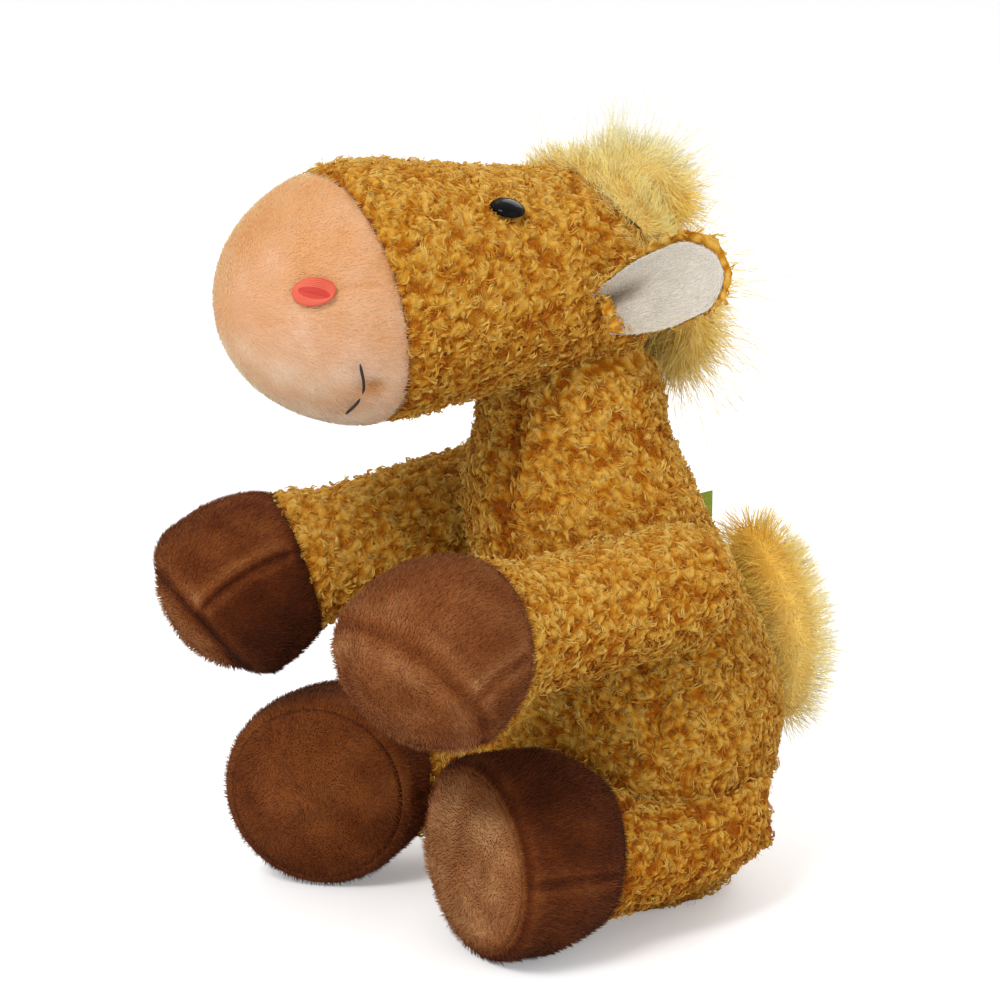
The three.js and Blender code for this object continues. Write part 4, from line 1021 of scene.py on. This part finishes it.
def build_eye(form, side):
    name = sided("eye", side)
    out = unit(np.array([EYE_FACING[0] * side, *EYE_FACING[1:]]))
    here = form.surface(HEAD_BACK + EYE_FORWARD, side_turn(EYE_RISE, side)) - out * 2.2
    radius = EYE_DIAMETER / 2
    dome = [(radius * math.cos(a), 0.6 + 2.2 * math.sin(a)) for a in np.linspace(0, math.pi / 2, 12)]
    rim = [(radius - 0.25, 0.0), (radius, 0.25)]
    shank = [(0, -9), (1.7, -9), (1.7, 0)]
    belongs(turned(f"{name}_dome", [*shank, *rim, *dome], here, out, eye_gloss), "head", "eye_plastic", name)


def build_nostril(form, side):
    name = sided("nostril", side)
    spot = HEAD_BACK + NOSTRIL_FORWARD, side_turn(NOSTRIL_RISE, side)
    here, out = form.surface(*spot), form.outward(*spot)
    forward = unit(AHEAD - out * (AHEAD @ out))
    down = np.cross(out, forward) * (1 if np.cross(out, forward)[2] < 0 else -1)

    def stitched(x, y, lift):
        return here + forward * x + down * y + out * (lift - 0.45 - (x * x + y * y) / 60)

    loops = []
    for share in np.linspace(0, 0.88, 9):
        loop = []
        for a in np.linspace(0, 2 * math.pi, 32, endpoint=False):
            around = np.array([(NOSTRIL_LENGTH / 2 - 0.3) * math.cos(a), (NOSTRIL_WIDTH / 2 - 0.3) * math.sin(a)])
            inner = np.array([-0.3, 0.6]) + np.array([3.4, -1.3]) * math.cos(a + 0.5)
            lift = 0.1 + 0.5 * math.sin(math.pi * share**0.7)
            loop.append(stitched(*(around + (inner - around) * share), lift))
        loops.append(loop)
    # Coral outer rings; the red inner rings and the dark red slit are painted shade in the nostril's hollow.
    satin = thread(f"{name}_satin", loops[:6], 0.26, coral_thread, closed_loop=True)
    belongs(satin, "head", "nostril_thread", name)
    belongs(thread(f"{name}_throat", loops[6:], 0.28, throat_shade_thread, closed_loop=True), "head", "nostril_thread")
    slit = [stitched(-0.3 + 3.5 * t, 0.6 - 1.35 * t, 0.15) for t in np.linspace(-1, 1, 9)]
    belongs(thread(f"{name}_slit", [slit], 0.34, slit_shade_thread), "head", "nostril_thread")


def build_mouth(form):
    """Long stitches: one down from each corner and one that turns forward show, the rest sink into the pile."""
    setback = eased([(202, 2.4), (219, -0.4), (223, -0.3), (236, 0.8), (250, 1.5), (270, 2)])
    shown_up_to = 236.5
    stitches = []
    for ends in ((202.5, 219), (222.5, 236), (237, 245), (246, 256), (258, 269)):
        for mirror in (False, True):
            path = []
            for degrees in np.linspace(*ends, 7):
                spot = MOUTH_PLACE + float(setback(degrees)), math.radians(540 - degrees if mirror else degrees)
                path.append(form.surface(*spot) + form.outward(*spot) * (0.2 if degrees < shown_up_to else -2.2))
            stitches.append(path)
    belongs(thread("mouth_thread", stitches, 0.42, black_thread), "head", "mouth_thread", "mouth_stitch")


# Ears

class Leaf(Form):
    """An ear's form: a cupped pad, widening from a pinched root that can be tucked back, with a round tip."""

    outline = staticmethod(eased([(0, 0.6), (0.15, 0.76), (0.52, 1), (0.78, 0.98), (1, 0.78)]))

    def __init__(self, root, along, hollow, length, width, middle, thickness, tuck=0.0):
        self.side, self.hollow = np.cross(hollow, along), hollow
        self.thickness, self.tuck = thickness, tuck
        places = np.linspace(0, length, 40)
        super().__init__(root + places[:, None] * along + hollow * middle, places,
                         lambda place: width / 2 * self.outline(np.asarray(place, float) / length), None,
                         tangents=along, sideways=self.side, round_end=9)

    def surface(self, place, turn, inset=0.0):
        place, turn = np.broadcast_arrays(np.asarray(place, float), np.asarray(turn, float))
        wide = (self.half_width(place) - inset) * self.cap(place)
        across = wide * np.cos(turn)
        pinch = 1 + 1.4 * (1 - np.clip(place / self.length, 0, 1)) ** 2
        cup = EAR_CUP * pinch * (across / (EAR_WIDTH / 2)) ** 2
        cup = cup - groove(across / 2.2 - 1.2, 2.4, 1.0) * np.clip(1.2 - place / 17, 0, 1)
        cup = cup - self.tuck * np.clip(1.15 - place / 6, 0, 1)
        depth = max(self.thickness / 2 - inset, 0.3) * np.sin(turn) * np.sqrt(np.maximum(self.cap(place), 0.05))
        centre = self.frame(place)[0]
        return centre + self.side * across[..., None] + self.hollow * (cup + depth)[..., None]


def build_ear(form, settings, side):
    name = sided("ear", side)
    spot = HEAD_BACK + EAR_FORWARD, side_turn(settings["rise"], side)
    here, out = form.surface(*spot), form.outward(*spot)
    swing, tilt = math.radians(settings["out"]), math.radians(settings["tilt"])
    along = np.array([math.sin(swing) * math.cos(tilt) * side, math.cos(swing) * math.cos(tilt), math.sin(tilt)])
    hollow = out + (AHEAD - out) * 0.6
    hollow = unit(hollow - along * (hollow @ along))
    root = here + out * (EAR_ROOT + JOINT_GAP - EAR_SUNK) - along * 0.5

    # The shell's fleece is darker in the gaps between its puffs: painted shade.
    shell = Skin(Leaf(root, along, hollow, EAR_LENGTH + 2, EAR_WIDTH, 0, EAR_THICKNESS), 1.5, SHELL_CELL,
                 lambda at: 0.2 + 0.75 * at.raised, puff=0.6)
    sew(shell, f"{name}_cover", everywhere, fleece_ground, name, "fleece", [f"{name}_shell"])
    grow_fleece(shell, name, f"{name}_fleece", [
        lambda place, turn, middle: math.sin(turn) < 0.1 or abs(math.cos(turn)) > 0.93 or place < 4.5])

    def tone(at):
        # Painted shade: darker in the fold at the root and towards the root, lighter towards the tip; the patches are
        # the lining's own mottle.
        painted_fold_shade = groove(np.cos(at.turn) - 0.3, 0.8, 0.25) * np.clip(1.2 - at.place / 14, 0, 1)
        return 0.4 + 0.4 * at.place / EAR_LENGTH + 0.2 * (patches(at.points, 6) - 0.5) - painted_fold_shade

    pad = Leaf(root - UP * 0.8, along, hollow, EAR_LENGTH - 0.5, EAR_WIDTH * 0.81, EAR_THICKNESS / 2 - 0.6, 2.6,
               tuck=3.2)
    skin = Skin(pad, 0.3, LINING_CELL, tone)
    sew(skin, f"{name}_lining_cloth", everywhere, lining_ground, name, "ear_lining", [f"{name}_lining"])
    grow(skin, lambda place, turn, middle: math.sin(turn) > -0.2 and place > 2.5, name, "ear_lining",
         LINING_SEED, {f"{name}_lining_pile": (lining_tree, LINING_PILE)})


# Mane and tail

def build_tuft(name, body, slot, points, half_wide, half_high, core, ground, trees, coats, replaced, tone):
    """A padded oval core that carries an undercoat of short fur and a coat of long hair."""
    def steady(value):
        return lambda length: lambda place: np.full_like(np.asarray(place, float), value)

    form = form_along(points, steady(half_wide), steady(half_high), sideways=ACROSS)
    form.round_start = form.round_end = form.length / 2
    skin = Skin(form, core, HAIR_CELL, tone, puff=0.8, puff_size=4)
    cloth = closed(skin.piece(f"{name}_core", everywhere, ground))
    for part, tree, coat in zip(("undercoat", "fur"), trees, coats):
        belongs(plant(f"{name}_{part}", cloth, tree, seed=len(name) + len(part), **coat), body, slot)
    belongs(cloth, body, slot, *replaced)


def build_mane():
    top = CRANIUM_HEIGHT + CRANIUM_DEPTH / 2
    build_tuft("mane_crown", "head", "mane_hair",
               [(0, HEAD_BACK - 22, top - 6), (0, HEAD_BACK - 3, top - 5.5), (0, HEAD_BACK + 11, top - 25)],
               18, 11, 5.0, mane_ground, mane_trees, [MANE_UNDERCOAT, CROWN_HAIR], ["mane_crown"],
               lambda at: 0.05 + (at.points[..., 2] - 195) / 22)
    build_tuft("mane_nape", "head", "mane_hair",
               [(0, HEAD_BACK + 8.5, CRANIUM_HEIGHT + share * 44) for share in (0.2, -0.3, -0.8)],
               19, 12, 4.0, mane_ground, mane_trees, [MANE_UNDERCOAT, NAPE_HAIR], ["mane_nape"],
               lambda at: 0.3 * at.raised)


def build_fringe(form):
    """Hair of the crown that spreads down over the head's sides."""
    back, front = HEAD_BACK - 1, HEAD_BACK - 27

    def in_fringe(place, turn, middle):
        share = (back - middle[1]) / (back - front)
        return share < 1 and middle[2] > CRANIUM_HEIGHT + 5.5 + 18 * max((share - 0.45) / 0.55, 0) ** 2

    skin = Skin(form, FLEECE_DEPTH - 1.2, HAIR_CELL, lambda at: 0.1 + 0.4 * patches(at.points, 5), puff=0.6)
    ground = skin.piece("mane_fringe_ground", lambda place, turn, middle: in_fringe(place, turn, middle - UP * 5),
                        mane_ground)
    belongs(closed(ground), "head", "mane_hair")
    grow(skin, in_fringe, "head", "mane_hair", FRINGE_SEED,
         {"mane_fringe_undercoat": (mane_trees[0], FRINGE_UNDERCOAT),
          "mane_fringe_strays": (mane_trees[1], FRINGE_HAIR)})


def build_tail():
    build_tuft("tail", "tail", "tail_hair",
               [(0, TAIL_MIDDLE - 12, TAIL_HEIGHT + 36), (0, TAIL_MIDDLE + 1.5, TAIL_HEIGHT),
                (0, TAIL_MIDDLE + 1.5, TAIL_HEIGHT - 34)],
               19, 14, 6.5, tail_ground, tail_trees, [TAIL_UNDERCOAT, TAIL_HAIR], ["tail_root", "tail_tuft"],
               lambda at: (at.points[..., 1] - TAIL_MIDDLE + 9) / 22)


# Limbs

def build_limb(name, form, shades, sole_groove, roll=0, sleeve_painted_light=0.0):
    """One limb; shades run from dark 0 to light 1 for the hoof's upper panel, lower panel and sole.

    roll turns the hoof's side seams round the limb, in degrees; the last argument makes the sleeve lighter or darker as
    painted light and shade.
    """
    def seam_distances(place, turn):
        turn = turn - math.radians(roll)
        side = np.minimum(*(np.abs(np.angle(np.exp(1j * (turn - seam)))) for seam in (0, np.pi)))
        on_wall = np.clip((place - form.seam) / 3, 0, 1) * np.clip((form.sole_seam - place) / 3, 0, 1)
        return place - form.seam, place - form.sole_seam, side * form.half_width(place) + 20 * (1 - on_wall)

    def sink(place, turn, points):
        depths, widths = (1.0, sole_groove, 0.6), (1.6, 2.4, 1.4)
        return sum(map(groove, seam_distances(place, turn), depths, widths))

    fleecy = Skin(form, FLEECE_DEPTH, FLEECE_CELL, lambda at: fleece_painted_shade(at) + sleeve_painted_light, sink, puff=FLEECE_PUFF,
                  floor=FLEECE_LOWEST)
    sew(fleecy, f"{name}_sleeve_cloth", lambda place, turn, middle: place < form.seam, fleece_ground, name, "fleece",
        [f"{name}_sleeve", f"{name}_stuffing"])
    grow_fleece(fleecy, name, f"{name}_fleece", [lambda place, turn, middle: place < form.seam - 0.3])

    def tone(at):
        wall = np.where(np.sin(at.turn - math.radians(roll)) > 0, shades[0], shades[1])
        shade = np.where(at.place > form.sole_seam, shades[2], wall)
        at_sole, at_side = seam_distances(at.place, at.turn)[1:]
        # Painted light and shade at the seams: lighter bands beside the sole seam and the side seams, darker in the
        # seam lines.
        seam_painted_light_and_shade = groove(np.abs(at_sole) - 3.5, 0.3 * sole_groove, 1.8) + groove(at_side - 2.8, 0.35 * sole_groove, 1.8)
        seam_painted_light_and_shade = seam_painted_light_and_shade - groove(at_sole, 0.3 * sole_groove, 1.0) - groove(at_side, 0.1, 0.8)
        # Painted shade: faces turned down are darker; the patches are the pile's own mottle.
        lit = shade - 0.12 * np.clip(-at.out[..., 2], 0, 1) + 0.3 * (patches(at.points, 9) - 0.5)
        # Painted shade in the grooves, where the cloth is drawn in.
        return lit + seam_painted_light_and_shade - 0.12 * np.maximum(at.drawn_in, 0)

    piled = Skin(form, PILE_DEPTH, HOOF_CELL, tone, sink, floor=PILE_LOWEST)
    for part, zone, slot, pile, nodes in (
            ("hoof_wall", lambda place, turn, middle: form.seam <= place < form.sole_seam, "hoof_pile", HOOF_PILE,
             [f"{name}_hoof_upper", f"{name}_hoof_lower"]),
            ("hoof_sole", lambda place, turn, middle: place >= form.sole_seam, "sole_pile", SOLE_PILE,
             [f"{name}_hoof_sole"])):
        sew(piled, f"{name}_{part}_cloth", zone, hoof_ground, name, slot, nodes)
        grow(piled, zone, name, slot, len(name) + len(part), {f"{name}_{part}_pile": (hoof_tree, pile)})


# Labels

def build_label(name, node, body, at, out, length, width, material, slot):
    """A short loop of ribbon, sewn in at a seam and standing out with a slight curl."""
    out = unit(np.array(out, float))
    side = unit(np.cross(out, UP))
    rows = [np.array(at) + out * (length * t) + side * (0.9 * math.sin(t * 2.2)) for t in np.linspace(0, 1, 9)]
    vertices, faces = [], []
    for lift in (0.35, -0.35):
        for i, row in enumerate(rows):
            pinch = lift * (1 if i < len(rows) - 1 else 0.2)
            vertices += [row + UP * (width / 2) + side * pinch, row - UP * (width / 2) + side * pinch]
    n = len(rows) * 2
    for i in range(len(rows) - 1):
        a = i * 2
        faces += [(a, a + 1, a + 3, a + 2), (n + a, n + a + 2, n + a + 3, n + a + 1),
                  (a, a + 2, n + a + 2, n + a), (a + 1, n + a + 1, n + a + 3, a + 3)]
    faces += [(0, n, n + 1, 1), (n - 2, n - 1, 2 * n - 1, 2 * n - 2)]
    ribbon = new_object(name, vertices, faces, material, smooth=False)
    with opened(ribbon) as mesh:
        bmesh.ops.recalc_face_normals(mesh, faces=mesh.faces)
    belongs(ribbon, body, slot, node)


build_torso()
head = head_form()
build_head(head)
for side in (1, -1):
    build_eye(head, side)
    build_nostril(head, side)
build_mouth(head)
build_ear(head, LEFT_EAR, 1)
build_ear(head, RIGHT_EAR, -1)
build_mane()
build_fringe(head)
# The right arm's sleeve is painted lighter against the shade it sits in, and the left leg's sleeve is painted darker:
# painted light and shade.
build_limb("left_arm", arm_form(**LEFT_ARM, side=1), (0.62, 0.58, 0.68), 0.4)
build_limb("right_arm", arm_form(**RIGHT_ARM, side=-1), (0.42, 0.2, 0.62), 0.7, roll=-26, sleeve_painted_light=0.05)
build_limb("left_leg", leg_form(**LEFT_LEG, side=1), (0.24, 0.34, 0.8), 0.4, sleeve_painted_light=-0.12)
build_limb("right_leg", leg_form(**RIGHT_LEG, side=-1), (0.46, 0.46, 0.46), 0.03)
build_tail()
build_label("back_tag_ribbon", "back_tag", "torso", (0, 22, 106), (0, 1, 0.1), 7.5, 7.5, olive_ribbon, "tag_cloth")
build_label("side_label_ribbon", "side_label", "torso", (-17.5, -39, 93), (-0.47, -0.88, 0), 6, 6, green_ribbon,
            "label_cloth")

for name in ("left_eye_washer", "right_eye_washer"):
    washer = bpy.data.objects[name]
    washer.data.materials.clear()
    washer.data.materials.append(washer_plastic)
